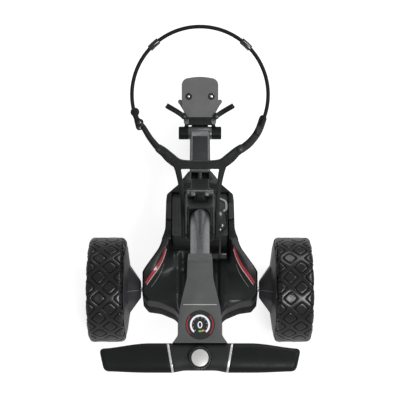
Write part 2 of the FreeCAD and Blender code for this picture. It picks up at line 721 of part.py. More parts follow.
def console_form(growth=0.0):
    form = side_prism(console_side(growth), -90, 90)
    return form.common(slab(console_outline(growth), -160, 90))


def tube_bore():
    """Bore for the stem tube, in the handle's frame."""
    return placed(placed(tube_cone(PRESS_GAP), STEM), HANDLE.inverse())


def console_parts():
    """Upper cover and lower base of the console, both hollow."""
    outer = console_form()
    inner = console_form(-WALL).cut(box(-90, 90, 0, BAR_DEPTH / 2 + WALL, -200, 200))
    nose_block = box(-60, 60, CONSOLE_LENGTH - 26, 400, -200, BAR_HEIGHT / 2 - WALL)
    skin = cut(outer, inner.cut(nose_block))
    part_z = BAR_HEIGHT / 2 - COVER_DEPTH
    above = box(-200, 200, 0, 400, part_z, 200)
    cover = skin.common(above)
    base = skin.cut(above)
    window = rod((0, DISPLAY_AT, 0), (0, DISPLAY_AT, 90), DISPLAY_R + 0.2)
    cover = largest(cut(cover, window, tube_bore()))
    base = largest(cut(base, tube_bore()))
    return cover, base


def display_lens():
    top = BAR_HEIGHT / 2
    lens = rod((0, DISPLAY_AT, top - WALL), (0, DISPLAY_AT, top + 0.8), DISPLAY_R)
    return placed(lens, HANDLE)


def display_board():
    """Round board under the lens, with a tail towards the knob."""
    top = BAR_HEIGHT / 2 - WALL - 1.0
    disc = rod((0, DISPLAY_AT, top - 1.6), (0, DISPLAY_AT, top), DISPLAY_R + 4)
    tail = box(-14, 14, DISPLAY_AT, DISPLAY_AT + 46, top - 1.6, top)
    return placed(fuse(disc, tail), HANDLE)


def bar_section(depth, height, sweep):
    return [(-depth / 2, -height / 2, sweep), (depth / 2, -height / 2, sweep), (depth / 2, height / 2, sweep),
            (-depth / 2, height / 2, sweep)]


def slanted(x_front, x_back, outer):
    """Cutter for everything farther out than a slanted line across the bar."""
    y = BAR_DEPTH / 2 + 1
    slope = (x_front - x_back) / BAR_DEPTH
    middle = (x_front + x_back) / 2
    return slab([(middle - slope * y, -y), (outer, -y), (outer, y), (middle + slope * y, y)], -60, 60)


def handle_form():
    """The whole T bar: round-cornered, bellied towards the user and thinner at its ends."""
    side = side_prism(bar_section(BAR_DEPTH, BAR_HEIGHT, 14), -HANDLE_HALF, HANDLE_HALF)
    plan = slab(both_halves([(0, BAR_DEPTH / 2), (HANDLE_HALF - 1, BAR_DEPTH / 2 - 5, 8),
                             (HANDLE_HALF - 12, -BAR_DEPTH / 2 + 6, 10), (90, -BAR_DEPTH / 2, 60),
                             (0, -BAR_DEPTH / 2)]), -60, 60)
    return side.common(plan)


def handle_parts():
    """Centre housing, slanted bands and grips, bored for the core."""
    bore_end = HANDLE_HALF - CORE_SHORT + 0.5
    form = cut(handle_form(), x_rod(-bore_end, bore_end, 0, 0, CORE_R))
    shift = BAND_WIDTH / 2
    outside_band = slanted(BAND_OUT_X + shift, BAND_IN_X + shift, 400)
    outside_centre = slanted(BAND_OUT_X - shift, BAND_IN_X - shift, 400)
    grip = largest(form.common(outside_band))
    band = largest(form.common(outside_centre).cut(outside_band))
    housing = cut(form, outside_centre, mirrored(outside_centre))
    housing = cut(housing, rod((0, 0, 0), (0, 0, 60), KNOB_R - 5), rod((0, 0, BAR_HEIGHT / 2 - 5), (0, 0, 60), KNOB_R + 1))
    return largest(housing), band, grip


def handle_core():
    """Aluminium tube through the bar."""
    end = HANDLE_HALF - CORE_SHORT
    return placed(ring_x(-end, end, 0, 0, CORE_R - 2, CORE_R - PRESS_GAP), HANDLE)


def encoder_shaft():
    """Shaft that the knob turns on; it presses down with the knob."""
    return placed(rod((0, 0, CORE_R + 1.5), (0, 0, BAR_HEIGHT / 2 - KNOB_SINK + 10.5), SHAFT_R), HANDLE)


def speed_knob():
    """Knurled ring with a socket for the shaft."""
    low, high = BAR_HEIGHT / 2 - KNOB_SINK, BAR_HEIGHT / 2 + KNOB_HEIGHT
    points = []
    for i in range(KNOB_TEETH):
        for radius, share in ((KNOB_R, 0.0), (KNOB_R, 0.5), (KNOB_R - 0.9, 0.62), (KNOB_R - 0.9, 0.88)):
            angle = (i + share) * 2 * math.pi / KNOB_TEETH
            points.append(V(radius * math.cos(angle), radius * math.sin(angle), low))
    ring = Part.Face(Part.makePolygon(points + [points[0]])).extrude(V(0, 0, high - low))
    socket = rod((0, 0, low - 1), (0, 0, low + 11), SHAFT_R + RUN_GAP)
    ring = cut(ring, rod((0, 0, high - 3), (0, 0, high + 1), KNOB_FACE_R), socket)
    return placed(ring, HANDLE)


def knob_face():
    high = BAR_HEIGHT / 2 + KNOB_HEIGHT
    return placed(rod((0, 0, high - 3), (0, 0, high + 0.6), KNOB_FACE_R - PRESS_GAP), HANDLE)


# Upper bag support --------------------------------------------------------------------------------
def yoke_pivot_in_bag():
    point = BAG.inverse().multVec(STEM.multVec(V(0, *YOKE_PIVOT)))
    return point.y, point.z


def bar_between(a, b, width, z0, z1):
    """A flat bar with round ends between two plan points."""
    first, last = V(a[0], a[1], 0), V(b[0], b[1], 0)
    along = (last - first).normalize()
    across = V(-along.y, along.x, 0) * (width / 2)
    corners = [first - across, last - across, last + across, first + across]
    bar = Part.Face(Part.makePolygon(corners + [corners[0]])).extrude(V(0, 0, z1 - z0))
    bar.translate(V(0, 0, z0))
    ends = [rod((x, y, z0), (x, y, z1), width / 2) for x, y in (a, b)]
    return fuse(bar, *ends)


def yoke_frame():
    """Frame with two legs to the stem's hinge, a crossbar and two arms for the strap."""
    t = YOKE_T / 2
    qy, qz = yoke_pivot_in_bag()
    half = []
    half.append(bar_between((52, -12), (ARM_PIN_X, ARM_PIN_Y), 20, -t, t))
    half.append(bar_between((50, -12), (LEG_X + 1, -96), 12, -t, t))
    half.append(bar_between((LEG_X + 1, -96), (LEG_X, qy), 9, -t, t))
    half.append(x_rod(LEG_X - 4.8, LEG_X + 5, qy, qz, 9.5))
    leg = cut(fuse(*half), x_rod(30, 50, qy, qz, PIN_R + PRESS_GAP))
    crossbar = box(-60, 60, -20, -4, -t, t)
    frame = fuse(crossbar, leg, mirrored(leg))
    hole = rod((ARM_PIN_X, ARM_PIN_Y, -t - 1), (ARM_PIN_X, ARM_PIN_Y, t + 1), ARM_PIN_R + PRESS_GAP)
    frame = cut(frame, both(hole), both(yoke_pad(YOKE_T, 2 * RUN_GAP)))
    return placed(frame, BAG)


def yoke_pad(half_height, growth=0.0):
    """Pad let into the inner edge of the right arm, or the pocket that it sits in."""
    return bar_between((64, 10), (82, 28), 8.9 + growth, -half_height, half_height)


def yoke_pads():
    """Soft pads along the inner edges of the arms."""
    return placed(both(yoke_pad(YOKE_T / 2)), BAG)


def yoke_pins():
    """Pivot pins of the strap's lever and arm, and the pin of the yoke itself."""
    t = YOKE_T / 2
    pins = [rod((side * ARM_PIN_X, ARM_PIN_Y, -t), (side * ARM_PIN_X, ARM_PIN_Y, t + 10), ARM_PIN_R)
            for side in (LEFT, RIGHT)]
    qy, qz = yoke_pivot_in_bag()
    pins.append(x_rod(-LEG_X - 5, LEG_X + 5, qy, qz, PIN_R))
    return placed(Part.makeCompound(pins), BAG)


def ring_end(side):
    """Where the strap meets its lever or its arm, in the bag frame's plan."""
    angle = math.radians(RING_START[side])
    return side * RING_R * math.cos(angle), RING_CENTRE + RING_R * math.sin(angle)


def arm_pin_bore(side):
    x, y = side * ARM_PIN_X, ARM_PIN_Y
    return rod((x, y, 0), (x, y, 40), ARM_PIN_R + RUN_GAP)


def strap_lever():
    """Over-centre lever on the left that holds the strap's free end."""
    low, high = LEVER_Z
    x, y = ring_end(LEFT)
    body = bar_between((-ARM_PIN_X, ARM_PIN_Y), (x, y), 13, low, high)
    pad = bar_between((x, y), (x + 4, y - 16), 16, low, high)
    tip = bar_between((-ARM_PIN_X, ARM_PIN_Y), (-ARM_PIN_X + 14, ARM_PIN_Y - 10), 7, low, high)
    return placed(cut(fuse(body, pad, tip), arm_pin_bore(LEFT)), BAG)


def strap_arm():
    """Swinging arm on the right that carries the strap."""
    low, high = LEVER_Z
    x, y = ring_end(RIGHT)
    body = bar_between((ARM_PIN_X, ARM_PIN_Y), (x, y - 6), 17, low, high)
    hub = rod((ARM_PIN_X, ARM_PIN_Y, low), (ARM_PIN_X, ARM_PIN_Y, high), 9.8)
    socket = rod((x, y - 6, high - 1), (x, y - 6, high + 9), 8)
    arm = fuse(body, hub, socket)
    return placed(cut(arm, arm_pin_bore(RIGHT), strap_form()), BAG)


def ring_arc(start, end, radius):
    """Part of the strap's ring between two angles, in the bag frame."""
    a0, a1 = math.radians(start), math.radians(end)
    centre = V(0, RING_CENTRE, STRAP_Z)
    points = [centre + V(math.cos(a), math.sin(a), 0) * RING_R for a in (a0, (a0 + a1) / 2, a1)]
    spine = Part.Wire([Part.Arc(*points).toShape()])
    tangent = V(-math.sin(a0), math.cos(a0), 0)
    return spine.makePipeShell([Part.Wire(Part.makeCircle(radius, points[0], tangent))], True, False)


def strap_form():
    return ring_arc(RING_START[RIGHT], 180 - RING_START[LEFT], STRAP_R)


def bag_strap():
    """Moulded strap standing as a ring round the bag, with a tongue over the lever's pad."""
    x, y = ring_end(LEFT)
    tongue = bar_between((x, y), (x + 4, y - 16), 12, LEVER_Z[1] + SEAT_GAP, LEVER_Z[1] + 6)
    return placed(fuse(strap_form(), tongue), BAG)


def strap_fittings():
    """Two sleeves round the strap and two studs on its tongue."""
    x, y = ring_end(LEFT)
    top = LEVER_Z[1] + 6
    pieces = [cut(ring_arc(a - 5, a + 5, STRAP_R + 3), ring_arc(a - 6, a + 6, STRAP_R + PRESS_GAP))
              for a in SLEEVE_ANGLES]
    pieces += [rod((px, py, top), (px, py, top + 5), 4.5) for px, py in ((x + 5, y - 3), (x + 4, y - 16))]
    return placed(Part.makeCompound(pieces), BAG)


# Lower bag support and front wheel ----------------------------------------------------------------
def pin_places():
    return [(side * CRADLE_PIVOT[0], CRADLE_PIVOT[1]) for side in (LEFT, RIGHT)]


def bag_plate():
    """Plate under the bag's foot: a raised rest face, and lower ears for the cradle arms."""
    half, length, low = PLATE_HALF, PLATE_LENGTH / 2, -PLATE_T / 2
    step = PLATE_T / 2 - PLATE_STEP
    plan = both_halves([(0, length), (half, length, 16), (half, -4, 20), (half - 12, -length, 8), (0, -length)])
    clear_of_arms = both_halves([(0, length), (half, length), (half, -26, 6), (half - 20, -44, 6),
                                 (half - 20, -length), (0, -length)])
    base = slab(plan, low, step)
    face = slab(plan, step, PLATE_T / 2).common(slab(clear_of_arms, step, PLATE_T / 2))
    ears = bar_between(*pin_places(), 18, low, step)
    recesses = [rod((x, y, 1), (x, y, 40), 7.5) for x, y in SCREW_SPOTS]
    screws = [rod((x, y, -40), (x, y, 40), PLATE_SCREW_R + PRESS_GAP) for x, y in SCREW_SPOTS]
    pins = [rod((x, y, -40), (x, y, 40), CRADLE_PIN_R + PRESS_GAP) for x, y in pin_places()]
    return placed(cut(fuse(base, face, ears), *recesses, *screws, *pins), PLATE)


def plate_fasteners():
    """Two screws through the plate, and the pins of the cradle arms."""
    low = -PLATE_T / 2
    pieces = [fuse(rod((x, y, low - 10), (x, y, 1), PLATE_SCREW_R), rod((x, y, 1), (x, y, 3.4), 6))
              for x, y in SCREW_SPOTS]
    pieces += [fuse(rod((x, y, low), (x, y, CRADLE_TOP), CRADLE_PIN_R),
                    rod((x, y, CRADLE_TOP + SEAT_GAP), (x, y, CRADLE_TOP + 2.8), 6.5),
                    rod((x, y, CRADLE_TOP), (x, y, CRADLE_TOP + 1), CRADLE_PIN_R)) for x, y in pin_places()]
    return placed(Part.makeCompound(pieces), PLATE)


def cradle_arm(side):
    """Arm that curves up beside the bag, with grooves along its upper face."""
    low = PLATE_T / 2 - PLATE_STEP + SEAT_GAP
    reach = CRADLE_REACH
    form = side_prism([(-8, low), (reach * 0.45, low, 30), (reach, 24, 3), (reach - 4, 36, 3),
                       (reach * 0.4, CRADLE_TOP, 24), (-8, CRADLE_TOP)], -CRADLE_HALF, CRADLE_HALF)
    grooves = [box(x - 1, x + 1, 12, reach + 9, CRADLE_TOP - 1.5, 60) for x in (-3.2, 3.2)]
    floor = side_prism([(0, low - 9), (reach * 0.45, low - 3, 30), (reach + 6, 19, 3), (reach + 2, 33, 3),
                        (reach * 0.4, CRADLE_TOP - 1.5, 24), (0, CRADLE_TOP - 1.5)], -20, 20)
    arm = cut(form, *[groove.cut(floor) for groove in grooves])
    arm.rotate(V(0, 0, 0), V(0, 0, 1), CRADLE_ANGLE - 90)
    arm.translate(V(CRADLE_PIVOT[0], CRADLE_PIVOT[1], 0))
    x, y = CRADLE_PIVOT
    hub = rod((x, y, low), (x, y, CRADLE_TOP), 8.5)
    body = cut(fuse(arm, hub), rod((x, y, -40), (x, y, 40), CRADLE_PIN_R + RUN_GAP))
    return placed(on_side(body, side), PLATE)


def front_fork():
    """Knuckles on the front hinge, two blades to the wheel and the bridge under the plate."""
    hinge = PLATE.inverse().multVec(V(0, FRONT_HINGE_Y, FRONT_HINGE_Z))
    knuckle = x_rod(BARREL_HALF, FRONT_HINGE_HALF, FRONT_HINGE_Y, FRONT_HINGE_Z, FRONT_HINGE_R)
    blade = side_prism([(FRONT_HINGE_Y - 14, FRONT_HINGE_Z - 8), (FRONT_AXLE_Y - 12, FRONT_AXLE_Z, 4),
                        (FRONT_AXLE_Y - 6, FRONT_AXLE_Z - 12, 5), (FRONT_AXLE_Y + 12, FRONT_AXLE_Z - 8, 8),
                        (FRONT_AXLE_Y + 12, FRONT_AXLE_Z + 8, 8), (FRONT_HINGE_Y + 16, FRONT_HINGE_Z + 8)],
                       BLADE_IN + 5, BLADE_IN + 5 + BLADE_T)
    foot = x_rod(BLADE_IN - 2, BLADE_IN + 5, FRONT_AXLE_Y, FRONT_AXLE_Z, 11)
    half = fuse(knuckle, blade, foot)
    back = -PLATE_T / 2
    bridge = box(-44, 44, hinge.y + 22, -PLATE_LENGTH / 2 + 30, back - 12, back)
    spine = box(-40, 40, -PLATE_LENGTH / 2 + 20, 20, back - 10, back)
    cheek = box(BARREL_HALF, 44, hinge.y - 4, hinge.y + 30, min(back - 12, hinge.z), max(back, hinge.z))
    upper = placed(fuse(bridge, spine, cheek, mirrored(cheek)), PLATE)
    fork = fuse(half, mirrored(half), upper)
    swing = x_rod(-BARREL_HALF, BARREL_HALF, FRONT_HINGE_Y, FRONT_HINGE_Z, FRONT_HINGE_R + 1.5)
    holes = [placed(rod((x, y, -40), (x, y, 40), PLATE_SCREW_R + PRESS_GAP), PLATE) for x, y in SCREW_SPOTS]
    wheel_room = x_rod(-BLADE_IN + 2, BLADE_IN - 2, FRONT_AXLE_Y, FRONT_AXLE_Z, FRONT_R + 4)
    return cut(fork, swing, wheel_room, x_rod(-80, 80, FRONT_HINGE_Y, FRONT_HINGE_Z, PIN_R + RUN_GAP),
               x_rod(-80, 80, FRONT_AXLE_Y, FRONT_AXLE_Z, FRONT_AXLE_R + PRESS_GAP), *holes)


def front_axle():
    """Bolt through the fork with a head and a nut."""
    end = BLADE_IN + 5 + BLADE_T
    return fuse(x_rod(-end, end, FRONT_AXLE_Y, FRONT_AXLE_Z, FRONT_AXLE_R), x_rod(end, end + 4, FRONT_AXLE_Y, FRONT_AXLE_Z, 9),
                x_rod(-end - 4, -end, FRONT_AXLE_Y, FRONT_AXLE_Z, 9))


def front_fasteners():
    """The wheel's axle bolt, the plate's screws and the cradle arms' pins."""
    return Part.makeCompound([front_axle()] + plate_fasteners().Solids)


def front_tyre():
    h = FRONT_WIDTH / 2
    profile = [(-h + 3, 62), (h - 3, 62), (h, 66), (h, 80), (h - 8, 88), (h - 14, FRONT_R), (-h + 14, FRONT_R),
               (-h + 8, 88), (-h, 80), (-h, 66)]
    return turned(profile, FRONT_AXLE_Y, FRONT_AXLE_Z)


def front_rim():
    h = FRONT_WIDTH / 2
    bore = FRONT_AXLE_R + RUN_GAP
    profile = [(-h + 1, bore), (h - 1, bore), (h - 1, 16), (5, 20), (5, 54), (h - 4, 57), (h - 3, 62), (-h + 3, 62),
               (-h + 4, 57), (-5, 54), (-5, 20), (-h + 1, 16)]
    return turned(profile, FRONT_AXLE_Y, FRONT_AXLE_Z)


# Rear wheels --------------------------------------------------------------------------------------
def rear_tyre(side):
    """Tyre envelope: the lugs' tips lie on its surface."""
    inn, out = WHEEL_OUT_X - TYRE_WIDTH, WHEEL_OUT_X
    wall, crown = 7.0, 12.0
    outer = [(out - 4, TYRE_SEAT_R), (out - 1, TYRE_SEAT_R + 6), (out, 118), (out - 2, 130), (out - 9, 137.5),
             (out - 22, WHEEL_R), (inn + 22, WHEEL_R), (inn + 9, 137.5), (inn + 2, 130), (inn, 118),
             (inn + 1, TYRE_SEAT_R + 6), (inn + 4, TYRE_SEAT_R)]
    inner = [(inn + 14, TYRE_SEAT_R), (inn + wall, 112), (inn + wall, 122), (inn + 18, WHEEL_R - crown),
             (out - 18, WHEEL_R - crown), (out - wall, 122), (out - wall, 112), (out - 14, TYRE_SEAT_R)]
    profile = outer + inner
    return on_side(turned(profile, 0, WHEEL_R), side)


def rear_rim(side):
    """Wheel disc with its barrel and its hub."""
    inn, out = WHEEL_OUT_X - TYRE_WIDTH, WHEEL_OUT_X
    bore = AXLE_R + RUN_GAP
    profile = [(inn - 14, bore), (out - 22, bore), (out - 22, BUTTON_R + 1), (out - 7, BUTTON_R + 1), (out - 5, 34),
               (out - 26, 46), (out - 30, 78), (out - 8, 88), (out - 3, TYRE_SEAT_R), (inn + 3, TYRE_SEAT_R),
               (inn + 8, 88), (out - 38, 80), (out - 38, 30), (inn - 14, 20)]
    return on_side(turned(profile, 0, WHEEL_R), side)


def hub_cone(side):
    """Straight cone over the inner side of the hub, with a flange over the tyre's inner wall."""
    inn = WHEEL_OUT_X - TYRE_WIDTH
    bore = AXLE_R + RUN_GAP
    tip, hub_r, base_x = CONE_IN_X, 20.4, CONE_IN_X + 30
    outer = [(tip, bore), (tip, CONE_TIP_R - 4), (tip + 3, CONE_TIP_R), (base_x, CONE_BASE_R),
             (inn - 6, CONE_BASE_R + 19), (inn - 1.8, COVER_R), (inn - SEAT_GAP, COVER_R)]
    inner = [(inn - SEAT_GAP, COVER_R - 12), (inn - 2.5, CONE_BASE_R + 19), (base_x + 4, CONE_BASE_R),
             (tip + 14, CONE_TIP_R + 8), (tip + 14, hub_r), (inn - 14.2, hub_r), (inn - 14.2, bore)]
    return on_side(turned(outer + inner, 0, WHEEL_R), side)


def release_button(side):
    """Button in the wheel's centre that frees it from the axle."""
    x0, x1 = WHEEL_OUT_X - 22 + BUTTON_TRAVEL + 1, WHEEL_OUT_X - 5
    button = cut(x_rod(x0, x1, 0, WHEEL_R, BUTTON_R + 1 - SEAT_GAP), x_rod(0, x0 + 9, 0, WHEEL_R, AXLE_R + SEAT_GAP))
    return on_side(button, side)


def chassis_screws():
    """Screws that hold the lower shell to the upper one."""
    pieces = []
    for x, y in SCREW_PLACES:
        for side in (LEFT, RIGHT):
            pieces.append(rod((side * x, y, SPLIT_Z - 22), (side * x, y, SPLIT_Z + 14), SCREW_R))
    return Part.makeCompound(pieces)


# Export -------------------------------------------------------------------------------------------
def nodes():
    """Every node of the trolley by name."""
    upper, lower = shell_pair()
    cover, base = console_parts()
    housing, band, grip = handle_parts()
    made = {
        "chassis_upper_shell": upper, "chassis_lower_shell": lower, "side_stripes": side_stripes(),
        "neck_frame": neck_frame(), "hinge_pins": hinge_pins(), "lower_stem": lower_stem(),
        "lower_stem_panel": lower_stem_panel(), "drive_axle": drive_axle(), "output_gear": output_gear(),
        "motor_pinion": motor_pinion(), "motor": motor(), "gearbox_case": gearbox_case(),
        "axle_bearings": axle_bearings(), "control_board": control_board(), "chassis_screws": chassis_screws(),
        "battery_case": battery_case(), "battery_lid": battery_lid(), "battery_cells": battery_cells(),
        "lead_gland": lead_gland(), "battery_lead": battery_lead(), "battery_plug": battery_plug(),
        "stem_tube": stem_tube(), "stem_hood": stem_hood(), "lock_lever": lock_lever(),
        "console_cover": placed(cover, HANDLE), "console_base": placed(base, HANDLE),
        "display_lens": display_lens(), "display_board": display_board(), "handle_core": handle_core(),
        "handle_housing": placed(housing, HANDLE), "handle_bands": placed(both(band), HANDLE),
        "encoder_shaft": encoder_shaft(), "speed_knob": speed_knob(), "knob_face": knob_face(),
        "yoke_frame": yoke_frame(), "yoke_pads": yoke_pads(), "yoke_pins": yoke_pins(),
        "strap_lever": strap_lever(), "strap_arm": strap_arm(), "bag_strap": bag_strap(),
        "strap_fittings": strap_fittings(), "bag_plate": bag_plate(), "front_fasteners": front_fasteners(),
        "front_fork": front_fork(), "front_tyre": front_tyre(), "front_rim": front_rim(),
    }
    clip = battery_clips()
    for name, side in SIDES:
        made["battery_clip_" + name] = on_side(clip, side)
        made["grip_" + name] = placed(on_side(grip, side), HANDLE)
        made["cradle_arm_" + name] = cradle_arm(side)
        made["rear_tyre_" + name] = rear_tyre(side)
        made["rear_rim_" + name] = rear_rim(side)
        made["hub_cone_" + name] = hub_cone(side)
        made["release_button_" + name] = release_button(side)
    return made


def main():
    os.makedirs("parts", exist_ok=True)
    for name, shape in nodes().items():
        shape.translate(V(0, -ORIGIN_Y, 0))
        if not shape.isValid() or shape.Volume <= 0:
            print("invalid:", name)
        shape.exportStep(os.path.join("parts", name + ".step"))
        print("%-24s %2d solids %10.0f mm3" % (name, len(shape.Solids), shape.Volume))


main()
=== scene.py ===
"""Looks of an electric golf trolley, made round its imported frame.

Every piece is in metres in the frame's own axes: X to the user's right, Y forward, Z up.
"""

import json
import logging
import math
from collections.abc import Iterable, Sequence
from dataclasses import dataclass, field
from enum import Enum

import bmesh
import bpy
from mathutils import Matrix, Vector
from mathutils.bvhtree import BVHTree

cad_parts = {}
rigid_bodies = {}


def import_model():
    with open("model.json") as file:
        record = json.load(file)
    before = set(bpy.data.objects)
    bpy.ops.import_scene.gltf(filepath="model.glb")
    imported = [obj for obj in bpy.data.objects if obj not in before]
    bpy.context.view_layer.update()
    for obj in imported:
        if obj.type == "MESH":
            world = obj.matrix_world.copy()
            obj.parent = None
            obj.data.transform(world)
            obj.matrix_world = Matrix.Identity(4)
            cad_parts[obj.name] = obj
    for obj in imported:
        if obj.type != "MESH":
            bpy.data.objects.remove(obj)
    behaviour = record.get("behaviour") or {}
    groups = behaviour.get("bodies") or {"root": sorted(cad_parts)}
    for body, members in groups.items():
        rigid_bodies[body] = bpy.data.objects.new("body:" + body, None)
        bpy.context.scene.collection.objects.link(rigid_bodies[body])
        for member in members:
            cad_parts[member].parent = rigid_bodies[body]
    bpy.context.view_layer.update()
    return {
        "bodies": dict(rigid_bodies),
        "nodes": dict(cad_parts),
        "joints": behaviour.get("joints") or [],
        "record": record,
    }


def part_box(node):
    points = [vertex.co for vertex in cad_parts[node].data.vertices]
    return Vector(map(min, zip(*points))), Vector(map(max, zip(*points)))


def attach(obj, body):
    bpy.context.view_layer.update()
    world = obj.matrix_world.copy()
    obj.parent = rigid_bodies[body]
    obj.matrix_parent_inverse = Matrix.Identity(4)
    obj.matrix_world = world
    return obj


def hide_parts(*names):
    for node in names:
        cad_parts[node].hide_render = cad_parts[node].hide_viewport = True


LOG = logging.getLogger("trolley")
MM = 0.001
WELD = 0.05  # points of the tread this close become one, in millimetres
FLAT = 0.6  # degrees between faces that count as one flat face
SIDES = (("left", -1), ("right", 1))
Point = tuple[float, float]
Mesh = bmesh.types.BMesh
Piece = bpy.types.Object
Socket = bpy.types.NodeSocket


# Frames -------------------------------------------------------------------------------------------
def tilt_of(axis: Sequence[float]) -> float:
    """Angle about X of a frame whose z axis is the given one, in radians."""
    return math.atan2(-axis[1], axis[2])


def frame_through(anchor: Sequence[float], local: Sequence[float], tilt: float) -> Matrix:
    """Frame turned about X that has a known point at a known place.

    Args:
        anchor: the point in the trolley's frame, in metres.
        local: the same point in the new frame, in millimetres.
        tilt: turn about X, in radians.

    Returns:
        Matrix that takes millimetres in the new frame to metres in the trolley's.
    """
    turn = Matrix.Rotation(tilt, 4, "X")
    origin = Vector(anchor) - turn @ (Vector(local) * MM)
    return Matrix.Translation(origin) @ turn @ Matrix.Scale(MM, 4)


@dataclass
class Frames:
    """Local frames of the sub-assemblies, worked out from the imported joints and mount."""

    joints: dict[str, dict]
    strap_pin: Point = (-98.0, 36.0)
    rest_point: Point = (20.0, 5.0)
    handle: Matrix = field(init=False)
    bag: Matrix = field(init=False)
    plate: Matrix = field(init=False)
    rear_axle: Vector = field(init=False)
    front_axle: Vector = field(init=False)

    def __post_init__(self) -> None:
        """Works out every local frame."""
        knob, pin = self.joints["knob_turn"], self.joints["strap_latch_swing"]
        self.handle = frame_through(knob["pos_m"], (0, 0, 0), tilt_of(knob["axis"]))
        self.bag = frame_through(pin["pos_m"], (*self.strap_pin, 0), tilt_of(pin["axis"]))
        self.rear_axle = Vector(self.joints["axle_spin"]["pos_m"])
        self.front_axle = Vector(self.joints["front_wheel_spin"]["pos_m"])

    def add_plate(self, mount: dict) -> None:
        """Works out the lower plate's frame from its mount."""
        self.plate = frame_through(mount["pos_m"], (0, *self.rest_point), tilt_of(mount["axis"]))


# Finishes -----------------------------------------------------------------------------------------
class Texture(Enum):
    """What the fine relief of a surface looks like."""

    GRAIN = "moulded grain"
    BRUSHED = "fine lines along one axis"
    STRIPED = "shallow flutes across one axis"


class Graph:
    """A node tree that is filled in a line at a time."""

    def __init__(self, tree: bpy.types.NodeTree) -> None:
        """Keeps the tree."""
        self.tree = tree

    def node(self, kind: str, **settings: object) -> bpy.types.Node:
        """Adds a node and sets its properties."""
        made = self.tree.nodes.new(kind)
        for key, value in settings.items():
            setattr(made, key, value)
        return made

    def feed(self, socket: Socket, value: object) -> None:
        """Links a socket to an input, or sets the input's own value."""
        if isinstance(value, Socket):
            self.tree.links.new(value, socket)
        else:
            socket.default_value = value

    def linked(self, kind: str, output: str, **inputs: object) -> Socket:
        """Output of a new node whose inputs are given by name."""
        made = self.node(kind)
        for name, value in inputs.items():
            self.feed(made.inputs[name], value)
        return made.outputs[output]

    def math(self, operation: str, *values: object) -> Socket:
        """Result of a Math node."""
        made = self.node("ShaderNodeMath", operation=operation)
        for socket, value in zip(made.inputs, values):
            self.feed(socket, value)
        return made.outputs[0]

    def noise(self, vector: Socket, scale: float, detail: float) -> Socket:
        """Noise from 0 to 1 at a number of spots per metre."""
        made = self.node("ShaderNodeTexNoise")
        self.feed(made.inputs["Vector"], vector)
        made.inputs["Scale"].default_value = scale
        made.inputs["Detail"].default_value = detail
        return made.outputs["Fac"]

    def spread(self, value: Socket, low: float, high: float) -> Socket:
        """A noise's middle range stretched from low to high."""
        made = self.node("ShaderNodeMapRange")
        self.feed(made.inputs["Value"], value)
        for name, number in (("From Min", 0.3), ("From Max", 0.7), ("To Min", low), ("To Max", high)):
            made.inputs[name].default_value = number
        return made.outputs["Result"]


def linear(tone: Sequence[float]) -> tuple[float, float, float, float]:
    """Linear colour of a display colour given from 0 to 255."""
    parts = [c / 255 for c in tone]
    return (*[c / 12.92 if c <= 0.04045 else ((c + 0.055) / 1.055) ** 2.4 for c in parts], 1.0)


@dataclass(frozen=True)
class Finish:
    """One finish: its display colour, its gloss and its relief."""

    name: str
    slot: str
    tone: tuple[float, float, float]
    roughness: float
    metallic: float = 0.0
    relief: float = 0.03
    spots: float = 1500.0
    mottle: float = 0.12
    coat: float = 0.0
    specular: float = 0.5
    glow: float = 0.0
    texture: Texture = Texture.GRAIN
    stretch: tuple[float, float, float] = (1.0, 1.0, 1.0)

    def material(self) -> bpy.types.Material:
        """The finish's material, built once."""
        name = "finish_" + self.name
        made = bpy.data.materials.get(name)
        if made is None:
            made = bpy.data.materials.new(name)
            made.use_nodes = True
            self._fill(Graph(made.node_tree), made.node_tree.nodes["Principled BSDF"])
            made.diffuse_color = linear(self.tone)
        return made

    def _fill(self, graph: Graph, shader: bpy.types.Node) -> None:
        """Builds colour, gloss and relief on the surface's own coordinates."""
        place = graph.node("ShaderNodeTexCoord").outputs["Object"]
        stretched = graph.node("ShaderNodeVectorMath", operation="MULTIPLY")
        graph.feed(stretched.inputs[0], place)
        stretched.inputs[1].default_value = self.stretch
        cloud = graph.noise(place, 22.0, 4.0)
        colour = graph.node("ShaderNodeMix", data_type="RGBA")
        graph.feed(colour.inputs["Factor"], graph.spread(cloud, 0.0, 1.0))
        dark, light = (tuple(c * share for c in linear(self.tone)[:3]) + (1.0,)
                       for share in (1 - self.mottle, 1 + self.mottle))
        graph.feed(colour.inputs[6], dark)
        graph.feed(colour.inputs[7], light)
        graph.feed(shader.inputs["Base Color"], colour.outputs[2])
        smear = graph.noise(place, 55.0, 5.0)
        rough = graph.spread(smear, self.roughness * 0.85, self.roughness * 1.15)
        graph.feed(shader.inputs["Roughness"], rough)
        shader.inputs["Metallic"].default_value = self.metallic
        shader.inputs["Specular IOR Level"].default_value = self.specular
        shader.inputs["Coat Weight"].default_value = self.coat
        shader.inputs["Coat Roughness"].default_value = 0.12
        if self.glow:
            shader.inputs["Emission Color"].default_value = linear(self.tone)
            shader.inputs["Emission Strength"].default_value = self.glow
        bump = graph.node("ShaderNodeBump")
        bump.inputs["Strength"].default_value = 0.6
        bump.inputs["Distance"].default_value = self.relief * MM
        graph.feed(bump.inputs["Height"], self._height(graph, stretched.outputs[0]))
        graph.feed(shader.inputs["Normal"], bump.outputs["Normal"])

    def _height(self, graph: Graph, local: Socket) -> Socket:
        """Fine relief in the finish's own frame."""
        if self.texture is not Texture.STRIPED:
            return graph.noise(local, self.spots, 3.0)
        wave = graph.node("ShaderNodeTexWave", wave_type="BANDS", bands_direction="X")
        graph.feed(wave.inputs["Vector"], local)
        wave.inputs["Scale"].default_value = self.spots
        wave.inputs["Distortion"].default_value = 0.6
        return wave.outputs["Fac"]


